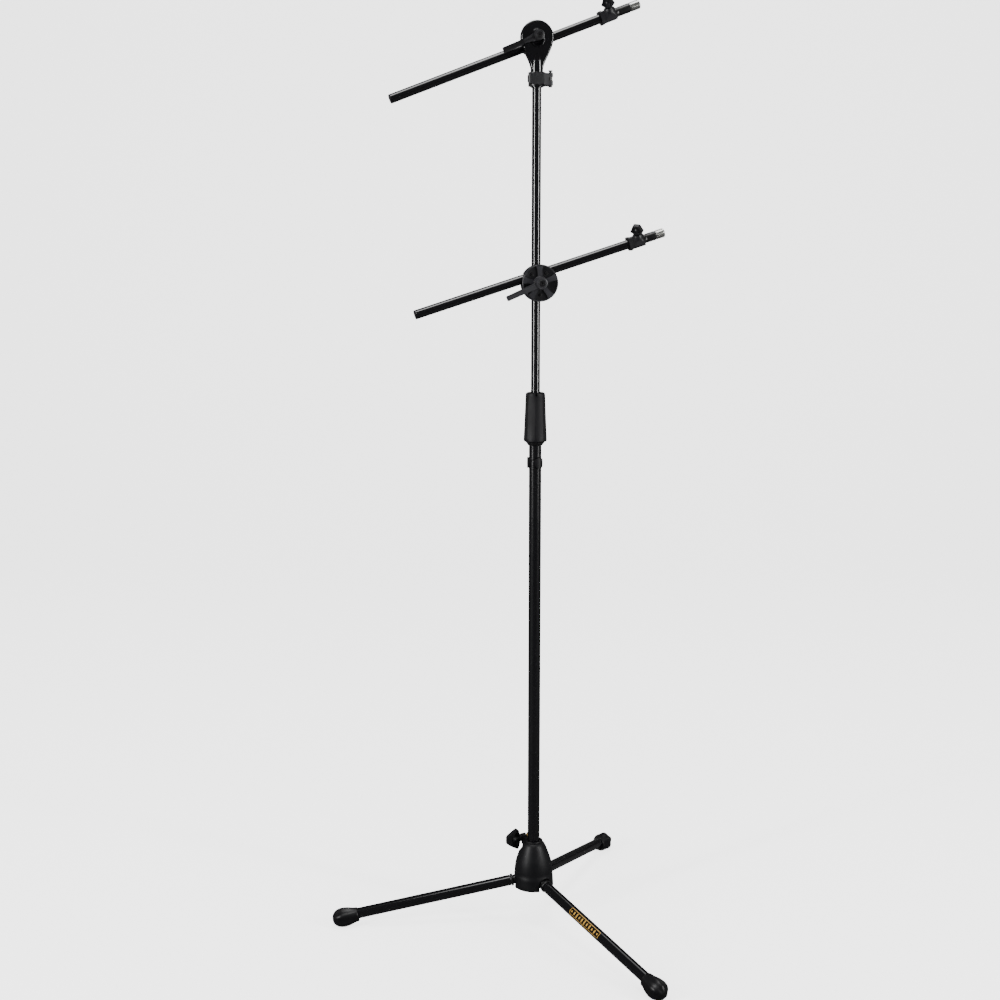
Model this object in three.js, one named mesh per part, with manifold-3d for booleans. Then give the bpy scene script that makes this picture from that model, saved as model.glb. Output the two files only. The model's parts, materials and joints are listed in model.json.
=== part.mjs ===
// A microphone stand with a folding tripod base, a telescopic pole and two telescopic boom arms.
// Units are millimetres and +Z is up. The pole and everything on it is built around the pole's axis,
// and the whole stand is then moved so that its base centre, at floor level, is the origin.
import * as THREE from "three";
import { mergeVertices } from "three/addons/utils/BufferGeometryUtils.js";
import Module from "manifold-3d";

const wasm = await Module();
wasm.setup();

// ---------- Driving dimensions ----------
const clearance = 0.3; // between pieces that touch or run on each other
const degree = Math.PI / 180;

const lowerTube = { radius: 11.1, bore: 9.6, bottom: 74, top: 935 };
const upperTube = { radius: 8, bore: 6.8, bottom: 600, top: 1557 };
const boomTube = { radius: 8, bore: 6.8 };
const slideTube = { radius: 6.25, bore: 5 };

const housing = { bottom: 70, top: 159 };
const baseClamp = { angle: 120, reach: 25, height: 156, slit: 7, earThickness: 8 };

const legAngles = [-54.1, 65.9, 185.9];
const leg = { slope: 11.1, pinReach: 29, pinHeight: 83, radius: 9.8, bore: 8.5, tubeEnd: 322 };
const foot = { centre: 330, radius: 17.9, back: -23, front: 25, drop: 1.8, flutes: 6 };

const grip = { bottom: 911.3, top: 999, bottomRadius: 20.4, topRadius: 17, flats: 8 };
const lug = { height: 873.5, width: 15, length: 19, reach: 14.6 };

const yaw = 12; // both booms point this far round the pole
const head = {
  pivot: 1606,
  tilt: 21.06,
  discRadius: 28.5,
  thickness: 14,
  neckRadius: 10.75,
  neckBottom: 1521.5,
};
const release = { bottom: 1523.5, top: 1546.5, pinX: 21, pinY: -12.8 };
const upperBoom = {
  back: -271.7,
  block: 121,
  blockEnd: 149,
  fittingEnd: 177,
  tip: 195.3,
  depth: 24,
  rise: -9,
};

const clamp = {
  pivot: 1191.5,
  tilt: 17.64,
  discRadius: 32,
  front: 38,
  rear: 20,
  sleeveRadius: 14,
  sleeveHeight: 40,
};
const lowerBoom = {
  back: -223.8,
  block: 171,
  blockEnd: 199,
  fittingEnd: 222,
  tip: 238.3,
  depth: -27,
  rise: 15,
};

const leverAngle = -156.4; // the tilt levers point down to the left, seen from the front

// ---------- Finishes ----------
function finish(color, roughness, metalness) {
  return new THREE.MeshStandardMaterial({ color, roughness, metalness, flatShading: true });
}
const glossBlack = finish(0x141416, 0.22, 0.35);
const satinBlack = finish(0x222226, 0.5, 0.2);
const mouldedBlack = finish(0x2a2a2e, 0.7, 0);
const clampGrey = finish(0x3c3c40, 0.65, 0);
const rubberBlack = finish(0x161618, 0.85, 0);
const zinc = finish(0xc4c4c2, 0.3, 1);
const brass = finish(0xc9a45c, 0.35, 1);
const nylon = finish(0x303034, 0.6, 0);

// How many sides a round piece has, by its size.
const sides = { large: 24, medium: 20, small: 14, tiny: 10, hexagon: 6 };

// ---------- Shape tools ----------
function solidOf(geometry) {
  const bare = geometry.clone();
  bare.deleteAttribute("normal");
  bare.deleteAttribute("uv");
  const merged = mergeVertices(bare, 1e-4);
  const vertProperties = new Float32Array(merged.attributes.position.array);
  const triVerts = new Uint32Array(merged.index.array);
  return new wasm.Manifold(new wasm.Mesh({ numProp: 3, vertProperties, triVerts }));
}

function geometryOf(solid) {
  const mesh = solid.getMesh();
  const geometry = new THREE.BufferGeometry();
  geometry.setAttribute("position", new THREE.BufferAttribute(new Float32Array(mesh.vertProperties), 3));
  geometry.setIndex(new THREE.BufferAttribute(new Uint32Array(mesh.triVerts), 1));
  geometry.computeVertexNormals();
  return geometry;
}

function join(...shapes) {
  return geometryOf(shapes.map(solidOf).reduce((whole, next) => whole.add(next)));
}

function cut(shape, ...tools) {
  return geometryOf(tools.map(solidOf).reduce((whole, tool) => whole.subtract(tool), solidOf(shape)));
}

function common(first, second) {
  return geometryOf(solidOf(first).intersect(solidOf(second)));
}

// A profile of [radius, height] points, up its outside and down its inside, turned about Z.
function turned(profile, count = sides.medium) {
  const points = profile.map(([radius, height]) => new THREE.Vector2(radius, height));
  return new THREE.LatheGeometry(points, count).rotateX(Math.PI / 2);
}

function pipe(radius, bore, bottom, top, count = sides.medium) {
  return turned([[bore, bottom], [radius, bottom], [radius, top], [bore, top], [bore, bottom]], count);
}

function rod(radius, bottom, top, count = sides.small) {
  const length = top - bottom;
  const upright = new THREE.CylinderGeometry(radius, radius, length, count).rotateX(Math.PI / 2);
  return upright.translate(0, 0, bottom + length / 2);
}

function block(x0, x1, y0, y1, z0, z1) {
  const box = new THREE.BoxGeometry(x1 - x0, y1 - y0, z1 - z0);
  return box.translate((x0 + x1) / 2, (y0 + y1) / 2, (z0 + z1) / 2);
}

// The same shape with its own Z axis laid along X, or along Y.
function alongX(geometry) {
  return geometry.rotateY(Math.PI / 2);
}
function alongY(geometry) {
  return geometry.rotateX(-Math.PI / 2);
}

// A closed outline through the corners, each corner rounded by the same amount.
function outline(corners, rounding) {
  const shape = new THREE.Shape();
  corners.forEach((corner, index) => {
    const here = new THREE.Vector2(...corner);
    const before = new THREE.Vector2(...corners[(index + corners.length - 1) % corners.length]);
    const after = new THREE.Vector2(...corners[(index + 1) % corners.length]);
    const start = here.clone().add(before.sub(here).setLength(rounding));
    const end = here.clone().add(after.sub(here).setLength(rounding));
    if (index === 0) shape.moveTo(start.x, start.y);
    else shape.lineTo(start.x, start.y);
    shape.quadraticCurveTo(here.x, here.y, end.x, end.y);
  });
  shape.closePath();
  return shape;
}

function slab(shape, bottom, top, curveSegments = 3) {
  const depth = top - bottom;
  const solid = new THREE.ExtrudeGeometry(shape, { depth, bevelEnabled: false, curveSegments });
  return solid.translate(0, 0, bottom);
}

// An outline drawn in the XZ plane, made solid between two Y positions.
function upright(shape, front, back, curveSegments = 3) {
  return slab(shape, -back, -front, curveSegments).rotateX(Math.PI / 2);
}

// Soft lobes round the Z axis: the radius swells and shrinks by the depth at a height.
function lobed(geometry, count, depthAt) {
  const position = geometry.attributes.position;
  for (let i = 0; i < position.count; i += 1) {
    const x = position.getX(i);
    const y = position.getY(i);
    const radius = Math.hypot(x, y);
    const lobe = depthAt(position.getZ(i), radius) * Math.cos(count * Math.atan2(y, x));
    const scale = radius > 0 ? (radius + lobe) / radius : 1;
    position.setXY(i, x * scale, y * scale);
  }
  return geometry;
}

function piece(parent, name, geometry, material) {
  const mesh = new THREE.Mesh(geometry, material);
  mesh.name = name;
  parent.add(mesh);
  return mesh;
}

function group(parent, x = 0, y = 0, z = 0) {
  const made = new THREE.Group();
  made.position.set(x, y, z);
  parent.add(made);
  return made;
}

const stand = new THREE.Group();

// ---------- Paddle knobs: a screw shank, a hub and a pocketed wing ----------
// The screw runs along -X from the hub, and the wing stands in the XY plane.
function paddleKnob({ span, tip, neck, length, thickness, hub, shank, shankLength }) {
  const middle = neck + (length - neck) * 0.5;
  const corners = [[neck, -hub], [neck + 4, -span / 2], [middle, -span / 2.6], [length, -tip / 2],
    [length, tip / 2], [middle, span / 2.6], [neck + 4, span / 2], [neck, hub]];
  const wing = slab(outline(corners, 2), -thickness / 2, thickness / 2);
  const inset = corners.map(([x, y]) => [middle + (x - middle) * 0.72, y * 0.7]);
  const pockets = [
    slab(outline(inset, 1.5), thickness / 2 - 2, thickness),
    slab(outline(inset, 1.5), -thickness, 2 - thickness / 2),
  ];
  const boss = alongX(rod(hub, 0, middle, sides.tiny));
  const pocketed = join(cut(wing, ...pockets), boss);
  return shankLength > 0 ? join(pocketed, alongX(rod(shank, -shankLength, 2, sides.tiny))) : pocketed;
}

// ---------- Base: a bell housing that the lower tube runs through ----------
function makeBase() {
  const bushBore = lowerTube.radius + clearance;
  const bushRadius = bushBore + 1.2;
  const bore = bushRadius + clearance;
  const { bottom, top } = housing;
  const bell = turned([[24, bottom], [37.2, bottom], [37.6, bottom + 2], [36, 95], [34.8, 107], [32.8, 118],
    [29.8, 131], [26, 142], [21.5, 151], [16.8, top - 3], [15.9, top], [bore, top], [bore, 128], [20, 112],
    [20, bottom + 3], [24, bottom]], sides.large);

  const arch = new THREE.Shape();
  const archHalf = 11.6;
  arch.moveTo(-archHalf, bottom - 10);
  arch.lineTo(archHalf, bottom - 10);
  arch.lineTo(archHalf, leg.pinHeight);
  arch.absarc(0, leg.pinHeight, archHalf, 0, Math.PI, false);
  arch.closePath();
  const cuts = [];
  for (const angle of legAngles) {
    const slot = slab(arch, 15, 46, 8).rotateX(Math.PI / 2).rotateZ(Math.PI / 2);
    cuts.push(slot.rotateZ(angle * degree));
    const pinBore = alongY(rod(3.15, -16.3, 16.3, sides.tiny)).translate(leg.pinReach, 0, leg.pinHeight);
    cuts.push(pinBore.rotateZ(angle * degree));
  }

  const { angle, reach, height, slit, earThickness } = baseClamp;
  const earOuter = slit / 2 + earThickness;
  const ears = join(
    alongY(rod(8, -earOuter, earOuter, sides.small)).translate(reach, 0, height),
    block(8, reach, -earOuter, earOuter, height - 12, height + 3),
  ).rotateZ(angle * degree);
  const opening = block(8, 40, -slit / 2, slit / 2, height - 14, height + 12).rotateZ(angle * degree);
  const knobWay = alongY(rod(21.5, earOuter, 60, sides.medium));
  const wayForKnob = knobWay.translate(reach, 0, height).rotateZ(angle * degree);
  const boltBore = alongY(rod(3.3, -20, 20, sides.tiny)).translate(reach, 0, height).rotateZ(angle * degree);
  const tubeBore = rod(bore, 120, 175, sides.large);
  const body = cut(join(bell, ears), opening, wayForKnob, boltBore, tubeBore, ...cuts);
  piece(stand, "base_housing", body, mouldedBlack);
  piece(stand, "base_bush", pipe(bushRadius, bushBore, 129, top - 1.5), nylon);

  // The hexagon-headed clamp bolt, its brass thrust nut in the slit, and the wing knob on its threaded end.
  const clampFrame = group(stand, 0, 0, height);
  clampFrame.rotation.z = angle * degree;
  const shank = alongY(rod(3, -earOuter - 0.5, earOuter + 10, sides.tiny));
  const boltHead = alongY(rod(5.8, -earOuter - 5, -earOuter - clearance, sides.hexagon));
  piece(clampFrame, "base_clamp_bolt", join(shank, boltHead).translate(reach, 0, 0), zinc);
  const nutBody = alongY(rod(5.6, -slit / 2 + 1, slit / 2 - clearance, sides.hexagon));
  const nut = cut(nutBody, alongY(rod(3.3, -slit, slit, sides.tiny)));
  piece(clampFrame, "base_clamp_nut", nut.translate(reach, 0, 0), brass);
  const knob = paddleKnob({ span: 40, tip: 15, neck: 5, length: 31, thickness: 9, hub: 6.5 });
  const knobBore = alongX(rod(3.3, -1, 11, sides.tiny));
  const knobShape = cut(knob, knobBore).rotateZ(Math.PI / 2).rotateY(Math.PI / 2);
  piece(clampFrame, "base_knob", knobShape.translate(reach, earOuter + 0.4, 0), mouldedBlack);
}

// ---------- Legs: a knuckle on a cross pin, a tube and a rubber boot ----------
function makeLegs() {
  const slope = leg.slope * degree;
  legAngles.forEach((angle, index) => {
    const number = index + 1;
    const spoke = group(stand);
    spoke.rotation.z = angle * degree;
    const pin = alongY(rod(3, -16, 16, sides.tiny)).translate(leg.pinReach, 0, leg.pinHeight);
    piece(spoke, `leg_pin_${number}`, pin, zinc);

    const line = group(spoke, leg.pinReach, 0, leg.pinHeight);
    line.rotation.y = slope;
    const eye = alongY(rod(8.6, -7, 7, sides.small));
    const neck = alongX(rod(8.2, 0, 40, sides.small));
    const ferrule = alongX(turned([[0, 9.5], [10.2, 9.5], [11.2, 10.5], [11.2, 13], [10.2, 14],
      [0, 14]], sides.small));
    const root = cut(join(eye, neck, ferrule), alongY(rod(3.3, -12, 12, sides.tiny)));
    piece(line, `leg_root_${number}`, root, satinBlack);
    const tube = alongX(pipe(leg.radius, leg.bore, 14.3, leg.tubeEnd, sides.small));
    piece(line, `leg_tube_${number}`, tube, glossBlack);

    // The boot hangs a little lower than the tube it is pushed on to, and its sole is flat on the floor.
    const { centre, radius, back, front, drop, flutes } = foot;
    const profile = [[0, back], [13, back], [13.8, back + 4], [16, back + 13], [17.5, -2], [radius, 5],
      [17, 12], [14.2, 18.5], [9, 23.5], [4, front], [0, front]];
    const swell = (height, around) => (around > 12 ? 0.5 : 0);
    const shell = alongX(lobed(turned(profile, sides.large), flutes, swell)).translate(centre, 0, -drop);
    const socket = alongX(rod(leg.radius + clearance, back - 1, -6, sides.small)).translate(centre, 0, 0);
    const ground = block(250, 420, -60, 60, -60, 0);
    const floorBlock = ground.translate(-leg.pinReach, 0, -leg.pinHeight).rotateY(-slope);
    piece(line, `leg_foot_${number}`, cut(shell, socket, floorBlock), rubberBlack);
  });
}

// ---------- Pole: two telescopic tubes and the twist clutch between them ----------
function makePole() {
  const { height, width, length, reach } = lug;
  const oblong = (x, y, rounding) => outline([[-x, -y], [x, -y], [x, y], [-x, y]], rounding);
  const lugShape = oblong(length / 2, width / 2, 6);
  const slotShape = oblong(length / 2 + 0.5, width / 2 + 0.5, 6.3);
  const across = (shape, from, to, angle) =>
    alongX(slab(shape, from, to)).translate(0, 0, height).rotateZ(angle * degree);

  const barrel = pipe(lowerTube.radius, lowerTube.bore, lowerTube.bottom, lowerTube.top, sides.large);
  const slots = legAngles.map((angle) => across(slotShape, 5, 20, angle));
  piece(stand, "lower_tube", cut(barrel, ...slots), glossBlack);

  const sleeve = pipe(lowerTube.bore - clearance, upperTube.radius + 0.25, 852, 930, sides.large);
  const bore = rod(upperTube.radius + 0.25, 840, 940, sides.large);
  const lugs = legAngles.map((angle) => cut(across(lugShape, 7, reach, angle), bore));
  piece(stand, "guide_bush", join(sleeve, ...lugs), nylon);

  const collarBore = lowerTube.radius + 0.25;
  const collar = turned([[collarBore, 904.5], [12.6, 904.5], [16.2, 909.6], [16.6, 910.5], [15, 911],
    [15, 934.5], [collarBore, 934.5], [collarBore, 904.5]], sides.large);
  piece(stand, "clutch_collar", collar, satinBlack);

  const collet = pipe(14.6, upperTube.radius + 0.25, lowerTube.top + clearance, 951, sides.large);
  const slit = block(4, 20, -1, 1, lowerTube.top - 5, 960);
  piece(stand, "clutch_collet", cut(collet, slit), nylon);

  const { bottom, top, bottomRadius, topRadius, flats } = grip;
  const rim = upperTube.radius + 0.5;
  const shape = turned([[15.4, bottom], [bottomRadius - 1.4, bottom], [bottomRadius, bottom + 3],
    [bottomRadius - 0.5, 925], [18.6, 955], [topRadius + 0.3, 985], [topRadius, top - 3],
    [topRadius - 2.5, top], [rim, top], [rim, 953], [15.4, 951.5], [15.4, bottom]], sides.large);
  const gripShape = lobed(shape, flats, (z, r) => (r > 15.6 && z < top - 1 ? 0.45 : 0));
  piece(stand, "clutch_grip", gripShape, mouldedBlack);

  const inner = pipe(upperTube.radius, upperTube.bore, upperTube.bottom, upperTube.top, sides.large);
  piece(stand, "upper_tube", inner, glossBlack);
  const plug = turned([[0, 592], [8, 592], [9.3, 594], [9.3, 599.7], [6.5, 599.7], [6.5, 615],
    [0, 615]], sides.medium);
  piece(stand, "upper_tube_plug", plug, nylon);
}

// ---------- Boom arm: outer tube, end cap, tube lock, inner tube and threaded end ----------
// The arm lies along X with the tilt bolt's axis through the origin, along Y.
function makeArm(parent, name, size) {
  const arm = group(parent, 0, size.depth, size.rise);
  const lockAt = (size.block + size.blockEnd) / 2;
  const outer = pipe(boomTube.radius, boomTube.bore, size.back + 2.2, lockAt, sides.medium);
  piece(arm, `${name}_boom_tube`, alongX(outer), glossBlack);

  const cap = turned([[0, size.back], [6.6, size.back], [8, size.back + 1.2], [8, size.back + 1.9],
    [6.5, size.back + 1.9], [6.5, size.back + 16], [0, size.back + 16]], sides.medium);
  piece(arm, `${name}_boom_cap`, alongX(cap), mouldedBlack);

  // The lock body grips the outer tube in its back half, and its screw presses on the inner tube in front.
  const half = 10.6;
  const square = (side, rounding) =>
    outline([[-side, -side], [side, -side], [side, side], [-side, side]], rounding);
  const screwAt = size.block + 19;
  const lean = 30 * degree;
  const saddle = rod(7.4, 6, 14.5, sides.small).rotateX(lean).translate(screwAt, 0, 0);
  const bodyBlock = alongX(slab(square(half, 4), size.block, size.blockEnd));
  const lip = alongX(slab(square(half + 1.2, 4.5), size.block, size.block + 4));
  const shell = join(bodyBlock, lip, saddle);
  const backBore = alongX(rod(boomTube.radius + 0.25, size.block - 1, lockAt + clearance, sides.medium));
  const frontBore = alongX(rod(slideTube.radius + 0.25, size.block - 1, size.blockEnd + 1, sides.medium));
  const screwBore = rod(3.3, 0, 20, sides.tiny).rotateX(lean).translate(screwAt, 0, 0);
  piece(arm, `${name}_lock_block`, cut(shell, backBore, frontBore, screwBore), clampGrey);

  const knob = paddleKnob({
    span: 24,
    tip: 12,
    neck: 1,
    length: 17,
    thickness: 8,
    hub: 5.5,
    shank: 3,
    shankLength: 8,
  });
  knob.rotateY(-Math.PI / 2).rotateZ(50 * degree);
  const screw = group(arm, screwAt, 0, 0);
  screw.rotation.x = lean;
  piece(screw, `${name}_lock_knob`, knob.translate(0, 0, 15), clampGrey);

  const inner = pipe(slideTube.radius, slideTube.bore, size.back + 40, size.blockEnd + 14, sides.medium);
  piece(arm, `${name}_slide_tube`, alongX(inner), glossBlack);
  const fittingStart = size.blockEnd + 0.6;
  const sleeveBore = slideTube.radius + 0.25;
  const fitting = turned([[sleeveBore, fittingStart], [7.4, fittingStart], [8, fittingStart + 0.8],
    [8, size.fittingEnd - 1.2], [7, size.fittingEnd], [3.3, size.fittingEnd], [3.3, size.blockEnd + 14.4],
    [sleeveBore, size.blockEnd + 14.4], [sleeveBore, fittingStart]], sides.medium);
  piece(arm, `${name}_boom_fitting`, alongX(fitting), satinBlack);
  const studStart = size.fittingEnd + clearance;
  const stud = turned([[0, studStart - 6], [3, studStart - 6], [3, studStart], [6.6, studStart],
    [7.94, studStart + 1.2], [7.94, size.tip - 1.4], [6.6, size.tip], [0, size.tip]], sides.medium);
  piece(arm, `${name}_mic_stud`, alongX(stud), zinc);
}

// ---------- Upper head: quick-release neck, tilting sleeve and lever ----------
function makeUpperHead() {
  const turret = group(stand);
  turret.rotation.z = yaw * degree;
  const { pivot, discRadius, thickness, neckRadius, neckBottom } = head;

  // The lollipop plate: a disc that runs in smooth hollows down to the round neck.
  const plate = new THREE.Shape();
  const waist = pivot - 52;
  const joinAngle = -20 * degree;
  const joinX = discRadius * Math.cos(joinAngle);
  const joinZ = pivot - 2 + discRadius * Math.sin(joinAngle);
  const narrow = neckRadius - 0.9;
  plate.moveTo(narrow, waist - 6);
  plate.bezierCurveTo(narrow, waist + 9, discRadius - 6, waist + 22, joinX, joinZ);
  plate.absarc(0, pivot - 2, discRadius, joinAngle, Math.PI - joinAngle, false);
  plate.bezierCurveTo(6 - discRadius, waist + 22, -narrow, waist + 9, -narrow, waist - 6);
  plate.closePath();
  const half = thickness / 2;
  const bevel = 2.5;
  const body = new THREE.ExtrudeGeometry(plate, {
    depth: thickness - 2 * bevel,
    bevelThickness: bevel,
    bevelSize: bevel,
    bevelOffset: -bevel,
    bevelSegments: 2,
    curveSegments: 12,
  }).translate(0, 0, bevel - half).rotateX(Math.PI / 2);
  const neck = turned([[0, neckBottom], [neckRadius, neckBottom], [neckRadius, 1556], [9.6, 1570],
    [6.5, 1578], [0, 1580]], sides.medium);

  const boss = (radius, from, to) => join(
    alongY(rod(radius, from, to, sides.medium)).translate(0, 0, pivot),
    alongY(rod(radius, from, to, sides.medium)).translate(0, 0, pivot - 7),
    block(-radius, radius, from, to, pivot - 7, pivot),
  );
  const raised = boss(11.8, -half - 3, -half + 2);
  const pocket = alongY(rod(8.6, -half - 8, -half - 1, sides.medium)).translate(0, 0, pivot - 8);
  const pole = rod(upperTube.radius + 0.25, neckBottom - 1, upperTube.top + 1, sides.medium);
  const neckSlit = block(0, 20, -1.2, 1.2, neckBottom - 1, 1551);
  const boltHole = alongY(rod(4.3, -20, 20, sides.small)).translate(0, 0, pivot);
  piece(turret, "head_casting", cut(join(body, neck, raised), pocket, pole, neckSlit, boltHole), glossBlack);

  makeRelease(turret);
  makeUpperTilt(turret);
}

// The quick release: a split band, a cross bolt and a lever that wraps the band's front.
function makeRelease(turret) {
  const { bottom, top, pinX, pinY } = release;
  const middle = (bottom + top) / 2;
  const bandBore = head.neckRadius + clearance;
  const ring = pipe(14.6, bandBore, bottom, top, sides.medium);
  const ears = join(ring, block(9, 26, -8, 8, bottom + 1, top - 1));
  const gapCut = block(5, 30, -2, 2, bottom - 1, top + 1);
  const bore = rod(bandBore, bottom - 1, top + 1, sides.medium);
  const boltHole = alongY(rod(2.8, -20, 20, sides.tiny)).translate(pinX, 0, middle);
  piece(turret, "release_band", cut(ears, gapCut, bore, boltHole), satinBlack);

  const cross = rod(2.4, bottom - 2, top + 2.2, sides.tiny).translate(pinX, pinY, 0);
  const knuckles = join(
    rod(3.4, bottom - 2.4, bottom - 0.4, sides.tiny).translate(pinX, pinY, 0),
    rod(3.4, top + 0.4, top + 2.4, sides.tiny).translate(pinX, pinY, 0),
  );
  const shank = alongY(rod(2.5, pinY, 13, sides.tiny)).translate(pinX, 0, middle);
  const nut = alongY(rod(4.6, 8 + clearance, 12.4, sides.hexagon)).translate(pinX, 0, middle);
  piece(turret, "release_bolt", join(cross, knuckles, shank, nut), zinc);

  // Seen from above: a cam round the cross pin, then an arm that follows the band to a rounded tip.
  const plan = new THREE.Shape();
  plan.moveTo(pinX, pinY - 4.6);
  plan.lineTo(10, -19.6);
  plan.quadraticCurveTo(-4, -22.6, -14, -18.6);
  plan.quadraticCurveTo(-20.5, -15.6, -18.4, -11.5);
  plan.quadraticCurveTo(-17, -9, -15.4, -11.2);
  plan.quadraticCurveTo(-9, -17.4, 2, -16.4);
  plan.quadraticCurveTo(10, -15.2, pinX - 4, pinY + 2);
  plan.lineTo(pinX, pinY + 4.4);
  plan.closePath();
  const camRound = rod(4.6, bottom + 0.6, top - 0.6, sides.small).translate(pinX, pinY, 0);
  const arm = join(slab(plan, bottom + 0.6, top - 0.6, 5), camRound);
  const face = new THREE.Shape();
  face.moveTo(30, bottom);
  face.lineTo(30, top - 1.6);
  face.lineTo(12, top - 2.6);
  face.quadraticCurveTo(8, top, 1, top + 0.4);
  face.quadraticCurveTo(-8, top - 0.4, -12, top - 3);
  face.quadraticCurveTo(-19, top - 4, -21, middle);
  face.quadraticCurveTo(-19, bottom + 4, -12, bottom + 3);
  face.quadraticCurveTo(-2, bottom + 0.2, 8, bottom + 2.4);
  face.lineTo(12, bottom);
  face.closePath();
  const frontShape = upright(face, -40, 10, 4);
  const pinHole = rod(2.7, bottom - 5, top + 5, sides.tiny).translate(pinX, pinY, 0);
  const shankSlot = block(pinX - 3.2, pinX + 12, pinY - 8, pinY + 10, middle - 3, middle + 3);
  piece(turret, "release_lever", cut(common(arm, frontShape), pinHole, shankSlot), clampGrey);
}

function makeUpperTilt(turret) {
  const tilting = group(turret, 0, 0, head.pivot);
  tilting.rotation.y = -head.tilt * degree;
  const { depth, rise } = upperBoom;
  const back = head.thickness / 2;
  const washerDisc = alongY(rod(13, back + clearance, back + 2.3, sides.medium));
  const washer = cut(washerDisc, alongY(rod(4.3, 0, 20, sides.small)));
  piece(tilting, "tilt_washer", washer, nylon);

  const sleeveStart = back + 2.6;
  const barrel = alongX(rod(11.6, -25, 25, sides.medium)).translate(0, depth, rise);
  const boss = alongY(rod(12.6, sleeveStart, depth, sides.medium));
  const sleeveTools = [
    alongX(rod(boomTube.radius + 0.25, -30, 30, sides.medium)).translate(0, depth, rise),
    alongY(rod(5.3, 0, 21.5, sides.small)),
  ];
  piece(tilting, "boom_sleeve", cut(join(barrel, boss), ...sleeveTools), satinBlack);

  const scallop = alongX(rod(boomTube.radius + 0.6, -30, 30, sides.medium)).translate(0, depth, rise);
  piece(tilting, "wedge_pad", cut(alongY(rod(4.9, 15.6, 21.2, sides.small)), scallop), brass);
  piece(tilting, "upper_tilt_bolt", alongY(rod(4, -19.5, 15.2, sides.small)), zinc);

  const lever = group(turret, 0, 0, head.pivot);
  lever.rotation.y = -leverAngle * degree;
  const hubFront = -23.5;
  const hubBack = -head.thickness / 2 - 3.4;
  const hub = alongY(turned([[0, hubFront], [7.6, hubFront], [8.8, hubFront + 1.5], [8.8, hubBack],
    [0, hubBack]], sides.small));
  const neckShape = outline([[2, -8], [14, -5.2], [27, -3.6], [34, -3.6], [34, 3.6], [27, 3.6],
    [14, 5.2], [2, 8]], 1.5);
  const neck = upright(neckShape, -19.5, -14);
  const groove = block(9, 27, -22, -18, -1.6, 1.6);
  const recess = alongY(rod(5.9, hubFront - 1, hubFront + 3, sides.small));
  const boltBore = alongY(rod(4.3, -19.9, 0, sides.small));
  piece(lever, "upper_tilt_lever", cut(join(hub, neck), groove, recess, boltBore), satinBlack);

  const gripShape = outline([[29, -4.6], [66.5, -4.9], [66.5, 4.9], [29, 4.6]], 2);
  const sheath = upright(gripShape, -20.6, -12.9);
  const core = block(20, 34.4, -20, -13.5, -4, 4);
  piece(lever, "upper_lever_grip", cut(sheath, core), rubberBlack);
  const socket = alongY(rod(2.4, hubFront - 2, hubFront + 1.8, sides.hexagon));
  const screwHead = alongY(rod(5.5, hubFront - 0.3, hubFront + 2.6, sides.small));
  piece(lever, "upper_lever_screw", cut(screwHead, socket), satinBlack);

  makeArm(tilting, "upper", upperBoom);
}

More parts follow.
